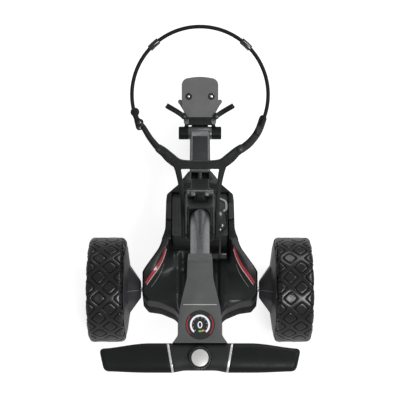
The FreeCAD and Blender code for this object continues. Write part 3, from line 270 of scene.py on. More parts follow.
SHELL = Finish("satin_shell", "shell_black", (26, 28, 28), 0.36, coat=0.05, relief=0.012,
               specular=0.26)
BELLY = Finish("matt_belly", "shell_black", (20, 21, 21), 0.6, relief=0.03, specular=0.15)
STRIPE = Finish("red_stripe", "stripe_red", (176, 28, 44), 0.3, coat=0.5, relief=0.005)
STRIPE_EDGE = Finish("pale_stripe_edge", "stripe_red", (222, 178, 182), 0.35, relief=0.005)
STRIPE_LINE = Finish("grey_stripe_line", "shell_black", (120, 122, 122), 0.4, relief=0.005)
CAST = Finish("painted_casting", "frame_grey", (26, 28, 28), 0.42, metallic=0.0, relief=0.05,
              spots=900.0, specular=0.14)
STEM_TUBE = Finish("anodised_tube", "stem_metal", (72, 76, 80), 0.3, metallic=0.6, relief=0.002,
                   spots=1200.0, texture=Texture.BRUSHED, stretch=(1.0, 0.003, 0.003))
LOWER_TUBE = Finish("anodised_lower_stem", "frame_grey", (92, 94, 97), 0.3, metallic=0.35,
                    relief=0.01)
STEEL = Finish("bright_steel", "steel", (186, 188, 190), 0.28, metallic=1.0, relief=0.01,
               spots=2500.0)
PANEL = Finish("dark_panel", "panel_dark", (56, 57, 58), 0.5, relief=0.03, specular=0.2)
BARREL = Finish("light_barrel", "panel_dark", (116, 118, 120), 0.36, metallic=0.4, relief=0.02)
PIN = Finish("dark_steel", "steel", (52, 53, 55), 0.34, metallic=0.9, relief=0.01, spots=2500.0)
LUG = Finish("grey_lug", "frame_grey", (84, 86, 88), 0.4, metallic=0.4, relief=0.02)
# Pale metallic strip on the right edge of the battery lid only: a painted highlight where the lamps catch that
# edge.
LID_HIGHLIGHT_PAINT = Finish("painted_lid_highlight", "battery_grey", (168, 170, 172), 0.3, metallic=0.5, relief=0.01)
CAN = Finish("motor_can", "motor_can", (150, 152, 155), 0.35, metallic=1.0, relief=0.02)
BOARD = Finish("board_green", "board_green", (30, 92, 52), 0.5, relief=0.04)
BATTERY = Finish("battery_grey", "battery_grey", (58, 59, 59), 0.5, relief=0.05, spots=1200.0,
                 specular=0.35)
CELLS = Finish("cell_wrap", "cell_wrap", (60, 110, 168), 0.35, relief=0.005)
GLOSS = Finish("gloss_black", "gloss_black", (24, 25, 26), 0.16, coat=0.6, relief=0.01)
CABLE = Finish("cable_black", "cable_black", (28, 28, 29), 0.42, relief=0.03)
CONSOLE = Finish("console_plastic", "console_plastic", (84, 86, 86), 0.48, relief=0.05,
                 spots=2200.0, specular=0.3)
HOUSING = Finish("housing_plastic", "console_plastic", (44, 45, 45), 0.42, relief=0.02,
                 specular=0.15)
LENS = Finish("lens_black", "lens", (20, 21, 23), 0.1, coat=0.8, relief=0.002)
ALLOY = Finish("bright_alloy", "alloy", (214, 214, 212), 0.32, metallic=0.5, relief=0.01,
               spots=2500.0)
KNOB = Finish("knob_dark", "knob_dark", (40, 41, 42), 0.3, metallic=0.5, relief=0.02)
GRIP = Finish("grip_rubber", "grip_rubber", (30, 31, 31), 0.38, relief=0.02, spots=1700.0,
              mottle=0.08, specular=0.1)
PAD = Finish("pad_rubber", "grip_rubber", (46, 47, 48), 0.6, relief=0.06, specular=0.2)
STRAP = Finish("strap_rubber", "strap_rubber", (24, 25, 26), 0.4, relief=0.04, specular=0.12)
ARM = Finish("arm_dark", "arm_dark", (26, 27, 28), 0.38, metallic=0.0, relief=0.04, specular=0.16)
PLATE = Finish("plate_grey", "plate_grey", (106, 107, 106), 0.55, relief=0.06, spots=1000.0,
               mottle=0.06)
TREAD = Finish("tread_rubber", "tyre_black", (18, 18, 19), 0.26, relief=0.06, spots=150.0,
               texture=Texture.STRIPED, specular=0.45)
RUBBER = Finish("sidewall_rubber", "tyre_black", (14, 14, 15), 0.5, relief=0.06, specular=0.15)
RIM = Finish("rim_dark", "rim_dark", (30, 31, 32), 0.45, relief=0.04)
HUB = Finish("hub_grey", "hub_grey", (66, 66, 69), 0.42, coat=0.1, relief=0.03, specular=0.25)
# Pale metallic bead on the hub cone's crease that faces the camera: a painted highlight.
CONE_HIGHLIGHT_PAINT = Finish("bright_seam", "hub_grey", (196, 197, 198), 0.3, metallic=0.6, relief=0.005)
SCREEN_WHITE = Finish("screen_white", "lens", (214, 216, 220), 0.4, glow=0.35, relief=0.002,
                      mottle=0.02)
SCREEN_RED = Finish("screen_red", "lens", (176, 32, 52), 0.4, glow=0.25, relief=0.002, mottle=0.02)
SCREEN_GREEN = Finish("screen_green", "lens", (74, 176, 92), 0.4, glow=0.4, relief=0.002,
                      mottle=0.02)
SCREEN_AMBER = Finish("screen_amber", "lens", (226, 138, 52), 0.4, glow=0.4, relief=0.002,
                      mottle=0.02)


# Meshes -------------------------------------------------------------------------------------------
def keep(name: str, bm: Mesh, finishes: Sequence[Finish], sharp: float = 35.0) -> Piece:
    """Turns a bmesh into an object with outward faces.

    Args:
        name: the piece's name.
        bm: the mesh, which is freed.
        finishes: its finishes, in material order.
        sharp: angle in degrees past which an edge is drawn sharp.

    Returns:
        The new object, at the origin.
    """
    bmesh.ops.recalc_face_normals(bm, faces=bm.faces)
    mesh = bpy.data.meshes.new(name)
    bm.to_mesh(mesh)
    bm.free()
    mesh.polygons.foreach_set("use_smooth", [True] * len(mesh.polygons))
    mesh.set_sharp_from_angle(angle=math.radians(sharp))
    piece = bpy.data.objects.new(name, mesh)
    bpy.context.scene.collection.objects.link(piece)
    for finish in finishes:
        mesh.materials.append(finish.material())
    return piece


def settle(piece: Piece, sharp: float = 35.0) -> Piece:
    """Turns an object's live modifiers into a plain mesh."""
    graph = bpy.context.evaluated_depsgraph_get()
    mesh = bpy.data.meshes.new_from_object(piece.evaluated_get(graph), depsgraph=graph)
    piece.modifiers.clear()
    piece.data = mesh
    mesh.polygons.foreach_set("use_smooth", [True] * len(mesh.polygons))
    mesh.set_sharp_from_angle(angle=math.radians(sharp))
    return piece


def fit(piece: Piece, body: str, nodes: Iterable[str] = ()) -> Piece:
    """Hangs a finished piece on its body and hides the nodes it stands for."""
    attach(piece, body)
    names = tuple(nodes)
    if names:
        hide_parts(*names)
    LOG.info("%s rides on %s", piece.name, body)
    return piece


def bridge(bm: Mesh, rings: Sequence[Sequence[bmesh.types.BMVert]], closed: bool) -> None:
    """Joins rings of points, one after the other, with quads."""
    pairs = list(zip(rings, rings[1:])) + ([(rings[-1], rings[0])] if closed else [])
    for first, second in pairs:
        count = len(first)
        for i in range(count):
            bm.faces.new((first[i], first[(i + 1) % count], second[(i + 1) % count], second[i]))


def loft(sections: Sequence[Sequence[Vector]], matrix: Matrix) -> Mesh:
    """Closed skin through rings of points, capped at both ends."""
    bm = bmesh.new()
    rings = [[bm.verts.new(matrix @ point) for point in section] for section in sections]
    bridge(bm, rings, False)
    bm.faces.new(rings[0])
    bm.faces.new(list(reversed(rings[-1])))
    return bm


def lathe(profile: Sequence[Point], centre: Vector, steps: int) -> Mesh:
    """Profile of (x, radius) points in millimetres, turned about the X line through a centre."""
    bm = bmesh.new()
    rings = []
    for i in range(steps):
        angle = 2 * math.pi * i / steps
        c, s = math.cos(angle), math.sin(angle)
        rings.append([bm.verts.new(centre + Vector((x, r * c, r * s)) * MM) for x, r in profile])
    bridge(bm, rings, True)
    return bm


def turned(profile: Sequence[Point], matrix: Matrix, steps: int = 96, teeth: int = 0,
           bite: float = 0.0) -> Mesh:
    """Closed profile of (radius, height) points turned about a frame's z axis, with or without teeth."""
    bm = bmesh.new()
    rings = []
    for i in range(steps):
        angle = 2 * math.pi * i / steps
        cut = bite * (0.5 - 0.5 * math.cos(teeth * angle))
        c, s = math.cos(angle), math.sin(angle)
        rings.append([bm.verts.new(matrix @ Vector(((r - cut) * c, (r - cut) * s, z)))
                      for r, z in profile])
    bridge(bm, rings, True)
    return bm


def prism(outline: Sequence[Point], low: float, high: float, matrix: Matrix) -> Mesh:
    """Flat outline in a local frame's x and y, raised from low to high."""
    bm = bmesh.new()
    floor, roof = ([bm.verts.new(matrix @ Vector((x, y, z))) for x, y in outline] for z in (low, high))
    bm.faces.new(list(reversed(floor)))
    bm.faces.new(roof)
    bridge(bm, [floor, roof], False)
    return bm


def soften(bm: Mesh, width: float, segments: int = 3, angle: float = 30.0) -> None:
    """Rounds every edge that is sharper than an angle."""
    edges = [e for e in bm.edges if e.is_manifold and e.calc_face_angle(0.0) > math.radians(angle)]
    bmesh.ops.bevel(bm, geom=edges, offset=width * MM, segments=segments, profile=0.5, affect="EDGES",
                    clamp_overlap=True, miter_outer="ARC")


def join(first: Mesh, second: Mesh) -> None:
    """Adds the second mesh to the first and frees it."""
    spare = bpy.data.meshes.new("spare")
    second.to_mesh(spare)
    second.free()
    first.from_mesh(spare)
    bpy.data.meshes.remove(spare)


def merged(parts: Iterable[Mesh]) -> Mesh:
    """One mesh that holds every part, in order."""
    whole, *others = parts
    for part in others:
        join(whole, part)
    return whole


def circle(radius: float, steps: int, centre: Point = (0, 0),
           height: float | None = None) -> list[Point]:
    """Points round a circle, or round an ellipse if its half height is given."""
    turns = [2 * math.pi * i / steps for i in range(steps)]
    tall = radius if height is None else height
    return [(centre[0] + radius * math.cos(a), centre[1] + tall * math.sin(a)) for a in turns]


def cut_out(piece: Piece, shape: Mesh, sharp: float = 35.0) -> None:
    """Takes a closed shape out of a piece."""
    cutter = keep("cutter", shape, ())
    cut = piece.modifiers.new("cut", "BOOLEAN")
    cut.operation, cut.object, cut.solver = "DIFFERENCE", cutter, "EXACT"
    settle(piece, sharp)
    bpy.data.objects.remove(cutter)


def smooth_step(value: float, low: float, high: float) -> float:
    """Rises smoothly from 0 at low to 1 at high."""
    share = min(1.0, max(0.0, (value - low) / (high - low)))
    return share * share * (3 - 2 * share)


def curve_through(points: Sequence[Sequence[float]], steps: int) -> list[Vector]:
    """Smooth curve that passes through every point, sampled evenly in each span."""
    fixed = [Vector(p) for p in points]
    ends = [2 * fixed[0] - fixed[1], *fixed, 2 * fixed[-1] - fixed[-2]]
    made = []
    for a, b, c, d in zip(ends, ends[1:], ends[2:], ends[3:]):
        for i in range(steps):
            t = i / steps
            made.append(0.5 * ((2 * b) + (c - a) * t + (2 * a - 5 * b + 4 * c - d) * t * t
                               + (3 * b - a - 3 * c + d) * t ** 3))
    return made + [fixed[-1]]


class Workshop:
    """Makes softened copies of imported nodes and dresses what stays."""

    def __init__(self, frame: dict) -> None:
        """Keeps the frame and finds each node's body."""
        self.nodes = frame["nodes"]
        bodies = frame["record"]["behaviour"]["bodies"]
        self.body = {node: body for body, names in bodies.items() for node in names}
        self.left = set(self.nodes)

    def copy(self, node: str) -> Mesh:
        """A node's mesh with its points merged and its flat faces joined."""
        bm = bmesh.new()
        bm.from_mesh(self.nodes[node].data)
        bmesh.ops.remove_doubles(bm, verts=bm.verts, dist=0.002 * MM)
        bmesh.ops.dissolve_limit(bm, angle_limit=math.radians(FLAT), verts=bm.verts, edges=bm.edges)
        return bm

    def soft(self, node: str, width: float, finish: Finish, segments: int = 3, angle: float = 30.0,
             extra: Sequence[Finish] = ()) -> Piece:
        """A copy of a node with rounded edges, which stands for it."""
        bm = self.copy(node)
        soften(bm, width, segments, angle)
        piece = keep(node + "_soft", bm, (finish, *extra))
        return self.stand(piece, node, finish)

    def stand(self, piece: Piece, node: str, finish: Finish, *more: str) -> Piece:
        """Hangs a piece where a node was."""
        self.left -= {node, *more}
        return fit(piece, self.body[node], (node, *more))

    def cast(self, node: str, name: str, voxel: float, passes: int, finish: Finish) -> Piece:
        """A blended copy of a node, which stands for it."""
        return self.stand(blended(name, [self.copy(node)], voxel, passes, finish), node, finish)

    def dress(self, node: str, finish: Finish) -> None:
        """Gives a node that stays its finish."""
        mesh = self.nodes[node].data
        mesh.materials.clear()
        mesh.materials.append(finish.material())
        self.left.discard(node)


# Wheels -------------------------------------------------------------------------------------------
def tread_tree() -> bpy.types.NodeTree:
    """Geometry nodes that lay tread blocks in a lattice and wrap them over a tyre."""
    tree = bpy.data.node_groups.new("wrapped_tread", "GeometryNodeTree")
    sockets = (("Geometry", "Geometry"), ("Block", "Object"), ("Rows", "Int"), ("Columns", "Int"),
               ("Pitch", "Float"), ("Spacing", "Float"), ("Radius", "Float"), ("Flat Half", "Float"),
               ("Shoulder", "Float"), ("Centre", "Vector"), ("Material", "Material"))
    for name, kind in sockets:
        tree.interface.new_socket(name, in_out="INPUT", socket_type="NodeSocket" + kind)
    tree.interface.new_socket("Geometry", in_out="OUTPUT", socket_type="NodeSocketGeometry")
    g = Graph(tree)
    given = g.node("NodeGroupInput").outputs
    index = g.node("GeometryNodeInputIndex").outputs[0]
    stripe = g.math("MODULO", index, given["Columns"])
    column = g.math("SUBTRACT", stripe, g.math("DIVIDE", g.math("SUBTRACT", given["Columns"], 1.0), 2.0))
    row = g.math("FLOOR", g.math("DIVIDE", g.math("ADD", index, 0.5), given["Columns"]))
    offset = g.math("MULTIPLY", g.math("MODULO", stripe, 2.0), 0.5)
    spot = g.linked("ShaderNodeCombineXYZ", "Vector", X=g.math("MULTIPLY", column, given["Spacing"]),
                    Y=g.math("MULTIPLY", g.math("ADD", row, offset), given["Pitch"]))
    shape = g.linked("GeometryNodeMeshLine", "Mesh", Count=g.math("MULTIPLY", given["Rows"], given["Columns"]))
    shape = g.linked("GeometryNodeSetPosition", "Geometry", Geometry=shape, Position=spot)
    block = g.linked("GeometryNodeObjectInfo", "Geometry", Object=given["Block"])
    shape = g.linked("GeometryNodeInstanceOnPoints", "Instances", Points=shape, Instance=block)
    shape = g.linked("GeometryNodeRealizeInstances", "Geometry", Geometry=shape)
    place = g.node("ShaderNodeSeparateXYZ")
    g.feed(place.inputs[0], g.node("GeometryNodeInputPosition").outputs[0])
    across, along, height = place.outputs
    shoulder = given["Shoulder"]
    far = g.math("ABSOLUTE", across)
    over = g.math("MAXIMUM", g.math("SUBTRACT", far, given["Flat Half"]), 0.0)
    turn = g.math("MINIMUM", g.math("DIVIDE", over, shoulder), math.pi / 2)
    down = g.math("MAXIMUM", g.math("SUBTRACT", over, g.math("MULTIPLY", shoulder, math.pi / 2)), 0.0)
    lift = g.math("ADD", shoulder, height)
    out = g.math("ADD", g.math("MINIMUM", far, given["Flat Half"]),
                 g.math("MULTIPLY", lift, g.math("SINE", turn)))
    rise = g.math("SUBTRACT", g.math("MULTIPLY", lift, g.math("COSINE", turn)), down)
    reach = g.math("ADD", g.math("SUBTRACT", given["Radius"], shoulder), rise)
    angle = g.math("DIVIDE", along, given["Radius"])
    wrapped = g.linked("ShaderNodeCombineXYZ", "Vector", X=g.math("MULTIPLY", out, g.math("SIGN", across)),
                       Y=g.math("MULTIPLY", reach, g.math("SINE", angle)),
                       Z=g.math("MULTIPLY", reach, g.math("COSINE", angle)))
    centred = g.node("ShaderNodeVectorMath", operation="ADD")
    g.feed(centred.inputs[0], wrapped)
    g.feed(centred.inputs[1], given["Centre"])
    shape = g.linked("GeometryNodeSetPosition", "Geometry", Geometry=shape, Position=centred.outputs[0])
    shape = g.linked("GeometryNodeMergeByDistance", "Geometry", Geometry=shape, Distance=WELD * MM)
    shape = g.linked("GeometryNodeSetMaterial", "Geometry", Geometry=shape, Material=given["Material"])
    g.feed(g.node("NodeGroupOutput").inputs["Geometry"], shape)
    return tree


def grown_by(tree: bpy.types.NodeTree, name: str, values: dict[str, object]) -> Piece:
    """Plain mesh that a geometry node tree makes from its inputs.

    Args:
        tree: the tree.
        name: the new piece's name.
        values: the tree's inputs by name.

    Returns:
        The piece, with no modifier left on it.
    """
    mesh = bpy.data.meshes.new(name)
    piece = bpy.data.objects.new(name, mesh)
    bpy.context.scene.collection.objects.link(piece)
    modifier = piece.modifiers.new("maker", "NODES")
    modifier.node_group = tree
    for item in tree.interface.items_tree:
        if item.in_out == "INPUT" and item.name in values:
            modifier[item.identifier] = values[item.name]
    return settle(piece)


@dataclass
class Tyre:
    """Lugged tyre: its lattice of diamond blocks and the carcass under it."""

    name: str
    body: str
    centre: Vector
    radius: float = 140.0
    width: float = 96.0
    shoulder: float = 12.0
    seat: float = 96.0
    rows: int = 16
    columns: int = 4
    spacing: float = 28.5
    block_half: float = 12.4
    groove: float = 0.9
    depth: float = 2.4
    band_drop: float = 0.4
    ring_points: int = 32

    def cell(self) -> Piece:
        """One cell of the lattice: block, groove and the band round it."""
        pitch = 2 * math.pi * self.radius / self.rows
        first = Vector((self.spacing, pitch / 2))
        edge = first.length
        foot = self.block_half + 1.0
        far = foot + self.groove
        rings = ((0.35, -0.1, 2.0), (0.7, 0.1, 3.0), (0.92, 0.0, 5.0), (1.0, -0.5, 5.0),
                 (foot / self.block_half, -self.depth, 5.0), (far / self.block_half, -self.depth, 6.0),
                 ((far + 0.7) / self.block_half, -self.band_drop - 0.3, 7.0),
                 ((far + 1.6) / self.block_half, -self.band_drop, 9.0),
                 (edge / 2 / self.block_half, -self.band_drop, 0))
        bm = bmesh.new()
        laid = []
        for share, height, power in rings:
            ring = []
            for i in range(self.ring_points):
                angle = 2 * math.pi * i / self.ring_points
                c, s = math.cos(angle), math.sin(angle)
                norm = max(abs(c), abs(s))
                if power:
                    norm = (abs(c) ** power + abs(s) ** power) ** (1 / power)
                a, b = (share * self.block_half * v / norm / edge for v in (c, s))
                spot = Vector(((a + b) * self.spacing, (a - b) * pitch / 2, height))
                ring.append(bm.verts.new(spot * MM))
            laid.append(ring)
        bm.faces.new(laid[0])
        bridge(bm, laid, False)
        piece = keep(self.name + "_cell", bm, (), 25.0)
        piece.hide_render = True
        return piece

    def build(self, tree: bpy.types.NodeTree, node: str) -> None:
        """Wraps the tread and adds the carcass as one piece."""
        cell = self.cell()
        values = {"Block": cell, "Rows": self.rows, "Columns": self.columns,
                  "Pitch": 2 * math.pi * self.radius / self.rows * MM, "Spacing": self.spacing * MM,
                  "Radius": self.radius * MM, "Flat Half": (self.width / 2 - self.shoulder) * MM,
                  "Shoulder": self.shoulder * MM, "Centre": self.centre, "Material": TREAD.material()}
        tread = grown_by(tree, self.name + "_tread", values)
        bpy.data.objects.remove(cell)
        fit(tread, self.body)
        bm = lathe(self.carcass(), self.centre, 128)
        fit(keep(self.name + "_carcass", bm, (RUBBER,)), self.body, (node,))

    def carcass(self) -> list[Point]:
        """Closed profile under the tread, from one seat to the other."""
        half, drop = self.width / 2, self.depth - 0.4
        right = [(half - 5, self.seat)]
        right += [(half - 1.6, self.seat + 4), (half - 1.2, self.radius - self.shoulder - 9)]
        for i in range(7):
            turn = math.pi / 2 * (1 - i / 6)
            reach = self.shoulder - drop
            right.append((half - self.shoulder + reach * math.sin(turn),
                          self.radius - self.shoulder + reach * math.cos(turn)))
        left = [(-x, r) for x, r in reversed(right)]
        return right + left + [(0.0, self.seat)]


@dataclass
class DriveWheel:
    """Rear wheel: tyre, faceted hub cone, rim with ribs and release button."""

    side_name: str
    side: int
    axle: Vector
    middle: float = 247.0
    inner_face: float = 199.0
    tip: float = 159.0
    tip_radius: float = 28.0
    base: float = 189.0
    base_radius: float = 69.0
    cover_radius: float = 122.0
    facets: int = 8
    # Angle of the cone's crease that faces the camera; the painted highlight bead lies on it.
    camera_crease_at: float = math.radians(119.0)

    def build(self, shop: Workshop, tree: bpy.types.NodeTree) -> None:
        """Makes every piece of the wheel."""
        body = "wheel_" + self.side_name
        centre = self.axle + Vector((self.side * self.middle * MM, 0, 0))
        Tyre("rear_tread_" + self.side_name, body, centre).build(tree, "rear_tyre_" + self.side_name)
        shop.left.discard("rear_tyre_" + self.side_name)
        self.cone(shop, body)
        shop.soft("rear_rim_" + self.side_name, 1.2, RIM)
        shop.soft("release_button_" + self.side_name, 0.8, PANEL)

    def cone(self, shop: Workshop, body: str) -> None:
        """Faceted cone whose creases run out to the edge of the cover, with a painted highlight on the crease that
        faces the camera.
        """
        cover = self.inner_face - 1.2
        rings = ((self.tip, 6.5, 0.0), (self.tip, self.tip_radius - 5, 0.0),
                 (self.tip + 2.5, self.tip_radius, 1.0),
                 (self.base, self.base_radius, 1.0), (self.base + 3.0, self.base_radius + 19, 1.0),
                 (cover - 1.2, self.cover_radius - 2.5, 0.45), (cover, self.cover_radius, 0.0),
                 (cover + 1, self.cover_radius, 0.0), (cover + 1, 80.0, 0.0),
                 (self.base + 2, 60.0, 0.0), (self.tip + 12, 20.0, 0.0), (self.tip + 12, 6.5, 0.0))
        bm = bmesh.new()
        steps, made = 12 * self.facets, []
        for i in range(steps):
            angle = self.camera_crease_at + 2 * math.pi * i / steps
            part = (i % 12) / 12 - 0.5
            bend = (0.5 - abs(part)) * 2 * math.pi / self.facets
            flat = math.cos(math.pi / self.facets) / math.cos(bend)
            made.append([bm.verts.new(self.axle + Vector((
                self.side * x, r * (1 + (flat - 1) * share) * math.cos(angle),
                r * (1 + (flat - 1) * share) * math.sin(angle))) * MM) for x, r, share in rings])
        bridge(bm, made, True)
        node = "hub_cone_" + self.side_name
        shop.stand(keep(node + "_faceted", bm, (HUB,), 9.0), node, HUB)
        # Pale bead along the crease that faces the camera: a painted highlight.
        painted_highlight_bead = self.painted_highlight_bead(self.camera_crease_at)
        fit(keep(node + "_seam", painted_highlight_bead, (CONE_HIGHLIGHT_PAINT,)), body)

    def painted_highlight_bead(self, angle: float) -> Mesh:
        """Painted highlight: a pale bead along the one crease of the cone that faces the camera."""
        turn = Vector((0, -math.sin(angle), math.cos(angle)))
        shrink = math.cos(math.pi / self.facets)
        sections = []
        for x, r in ((self.tip + 3.5, self.tip_radius + 1), (self.base - 0.5, self.base_radius - 0.5),
                     (self.base + 2.6, self.base_radius + 18)):
            point = Vector((self.side * x, r * shrink * math.cos(angle), r * shrink * math.sin(angle)))
            out = Vector((-self.side * 0.8, 0.6 * math.cos(angle), 0.6 * math.sin(angle)))
            corners = ((-1, -1), (1, -1), (0.6, 1), (-0.6, 1))
            sections.append([point + turn * 1.1 * u + out * 0.8 * v for u, v in corners])
        return loft(sections, Matrix.Translation(self.axle) @ Matrix.Scale(MM, 4))


# Handle and console -------------------------------------------------------------------------------
@dataclass
class Handle:
    """T bar with two soft grips, slanted bands, knob and the console's display."""

    matrix: Matrix
    half: float = 193.5
    end_slant: float = 13.0
    front: float = 28.0
    height: float = 16.8
    band_front: float = 61.0
    band_back: float = 51.0
    band_width: float = 4.0
    band_rise: float = 0.45
    knob_radius: float = 22.0
    well_floor: float = 10.5
    display_at: float = 62.0
    face: float = 17.0
    glass_rise: float = 0.4
    glass_radius: float = 27.0
    print_height: float = 0.15

    def section(self, x: float) -> list[Vector]:
        """Ring of points round the bar at a distance from its middle."""
        far = abs(x)
        taper = smooth_step(far, 95, self.half)
        front = self.front - 10.0 * taper
        back = -27.6 + 4.0 * (1 - smooth_step(far, 26, 56)) + 2.5 * taper
        height = self.height - 4.5 * smooth_step(far, 40, self.half)
        middle, depth = (front + back) / 2, (front - back) / 2
        end = max(0.0, (far - self.half + 9) / 9)
        depth -= 8 * (1 - math.sqrt(max(0.0, 1 - end ** 2)))
        height -= 8 * (1 - math.sqrt(max(0.0, 1 - end ** 2)))
        ring = []
        for i in range(40):
            angle = 2 * math.pi * i / 40
            c, s = math.cos(angle), math.sin(angle)
            power = 2.4
            norm = (abs(c) ** power + abs(s) ** power) ** (1 / power)
            y = middle + depth * c / norm
            slant = self.end_slant * (y - self.front) / (2 * self.front)
            slant *= smooth_step(far, 130, self.half)
            ring.append(Vector((x + math.copysign(1, x) * slant, y, height * s / norm)))
        return ring

    def bar(self) -> Mesh:
        """The whole bar as one closed skin."""
        stations = [self.half * math.sin(math.pi / 2 * i / 40) for i in range(-40, 41)]
        return loft([self.section(x) for x in stations], self.matrix)

    def cut_at(self, bm: Mesh, side: int, shift: float, outside: bool) -> None:
        """Cuts the bar along a slanted line and keeps one side of it, closed again."""
        a = Vector((side * (self.band_front + shift), self.front, 0))
        b = Vector((side * (self.band_back + shift), -self.front, 0))
        normal = Vector((a.y - b.y, b.x - a.x, 0)).normalized() * side
        turn = self.matrix.to_quaternion()
        bmesh.ops.bisect_plane(bm, geom=bm.verts[:] + bm.edges[:] + bm.faces[:],
                               plane_co=self.matrix @ a, plane_no=turn @ normal,
                               clear_inner=outside, clear_outer=not outside)
        rim = [e for e in bm.edges if e.is_boundary]
        bmesh.ops.edgeloop_fill(bm, edges=rim)

    def build(self, shop: Workshop) -> None:
        """Makes grips, bands and the centre housing."""
        gap = self.band_width / 2
        for name, side in SIDES:
            grip = self.bar()
            self.cut_at(grip, side, gap + 0.2, True)
            soften(grip, 1.4, 3, 40)
            shop.stand(keep("grip_" + name + "_soft", grip, (GRIP,), 60), "grip_" + name, GRIP)
        middle = self.bar()
        self.cut_at(middle, 1, -gap - 0.1, False)
        self.cut_at(middle, -1, -gap - 0.1, False)
        soften(middle, 0.5, 2, 40)
        housing = keep("handle_centre", middle, (HOUSING,), 60)
        cut_out(housing, prism(circle(self.knob_radius, 64), self.well_floor, 40, self.matrix), 40)
        shop.stand(housing, "handle_housing", HOUSING)
        bands = []
        for _, side in SIDES:
            band = self.bar()
            self.cut_at(band, side, -gap, True)
            self.cut_at(band, side, gap, False)
            centre = self.matrix @ Vector((0, 0, 0))
            for vert in band.verts:
                away = vert.co - centre
                away.x = 0
                vert.co += away.normalized() * self.band_rise * MM
            soften(band, 0.4, 2, 40)
            bands.append(band)
        shop.stand(keep("slanted_bands", merged(bands), (ALLOY,), 60), "handle_bands", ALLOY)

    def sector(self, inner: float, outer: float, start: float, end: float) -> Mesh:
        """Printed piece of a ring round the display's middle, between two angles in degrees."""
        steps = max(3, int(abs(end - start) / 4))
        turns = [math.radians(start + (end - start) * i / steps) for i in range(steps + 1)]
        points = []
        for radius, order in ((outer, turns), (inner, list(reversed(turns)))):
            points += [(radius * math.cos(a), self.display_at + radius * math.sin(a)) for a in order]
        return prism(points, self.print_low, self.print_low + self.print_height, self.matrix)

    @property
    def print_low(self) -> float:
        """Height of the display's glass."""
        return self.face + self.glass_rise

    def display(self, shop: Workshop) -> None:
        """Lens, dial and the lines printed round it."""
        middle = (0, self.display_at)
        glass = circle(self.glass_radius, 72, middle)
        lens = prism(glass, self.face - 2.8, self.print_low, self.matrix)
        soften(lens, 0.35, 2)
        shop.stand(keep("display_glass", lens, (LENS,)), "display_lens", LENS)
        dial = [self.sector(15.5, 19.0, -50, 230)]
        for i in range(10):
            dial.append(self.sector(12.8, 14.4, -50 + 31.1 * i - 1.5, -50 + 31.1 * i + 1.5))
        outside, inside = circle(4.6, 24, middle, 6.6), circle(2.6, 24, middle, 4.6)
        top = self.print_low + self.print_height
        dial.append(ring_prism(outside, inside, self.print_low, top, self.matrix))
        red = [self.sector(24.0, 25.4, -42, 42), self.sector(24.0, 25.4, 138, 222)]
        for name, parts, finish in (("dial", dial, SCREEN_WHITE), ("red_arcs", red, SCREEN_RED),
                                    ("green_bar", [self.sector(10.5, 13.5, 258, 282)], SCREEN_GREEN),
                                    ("amber_bar", [self.sector(10.5, 13.5, 286, 304)], SCREEN_AMBER)):
            fit(keep("display_" + name, merged(parts), (finish,)), "stem")
        rim = [(16.4, 21.5), (20.9, 21.5), (20.7, 23.6), (17.2, 27.0), (16.4, 27.0)]
        collar = turned(rim, self.matrix, 168, teeth=28, bite=0.5)
        fit(keep("knob_collar", collar, (ALLOY,), 20), "knob")
        outline = [(-31.5, 99.4), (31.5, 99.4), (31.5, 100.6), (-31.5, 100.6)]
        line = prism(outline, self.face - 0.5, self.face + 0.25, self.matrix)
        fit(keep("console_silver_line", line, (ALLOY,)), "stem")


def ring_prism(outer: Sequence[Point], inner: Sequence[Point], low: float, high: float,
               matrix: Matrix) -> Mesh:
    """Flat ring between two outlines with as many points, raised from low to high."""
    bm = bmesh.new()
    loops = [[bm.verts.new(matrix @ Vector((x, y, z))) for x, y in loop]
             for loop, z in ((outer, low), (outer, high), (inner, high), (inner, low))]
    bridge(bm, loops, True)
    return bm


# Upper bag support --------------------------------------------------------------------------------
@dataclass
class Ribbon:
    """Flat limb along a smooth line in a frame's plan, with a width at each of its points."""

    points: tuple[tuple[float, float, float], ...]
    low: float
    high: float
    steps: int = 8

    def outline(self) -> list[Point]:
        """Points round the limb, with a round tip at each end."""
        line = curve_through([(x, y, w) for x, y, w in self.points], self.steps)
        left, right = [], []
        for i, point in enumerate(line):
            before, after = line[max(0, i - 1)], line[min(len(line) - 1, i + 1)]
            along = (after.xy - before.xy).normalized()
            across = Vector((-along.y, along.x)) * point.z / 2
            left.append(point.xy + across)
            right.append(point.xy - across)
        tips = []
        for end, inward in ((line[-1], line[-2]), (line[0], line[1])):
            along = (end.xy - inward.xy).normalized()
            across = Vector((-along.y, along.x))
            tips.append([end.xy + (across * math.cos(a) + along * math.sin(a)) * end.z / 2
                         for a in (math.radians(20 * k) for k in range(1, 9))])
        return [tuple(p) for p in left + tips[0] + list(reversed(right)) + tips[1]]

    def mesh(self, matrix: Matrix) -> Mesh:
        """The limb as a closed prism."""
        return prism(self.outline(), self.low, self.high, matrix)


def blended(name: str, parts: Sequence[Mesh], voxel: float, passes: int, finish: Finish) -> Piece:
    """One skin over overlapping solids, with its corners and junctions rounded.

    Args:
        name: the piece's name.
        parts: closed meshes, which are freed.
        voxel: size of the skin's cells, in millimetres.
        passes: how often the skin is smoothed.
        finish: the piece's finish.

    Returns:
        The piece as a plain mesh.
    """
    piece = keep(name, merged(parts), (finish,))
    remesh = piece.modifiers.new("skin", "REMESH")
    remesh.mode, remesh.voxel_size = "VOXEL", voxel * MM
    relax = piece.modifiers.new("relax", "SMOOTH")
    relax.factor, relax.iterations = 0.5, passes
    settle(piece, 60)
    if not piece.data.materials:
        piece.data.materials.append(finish.material())
    return piece


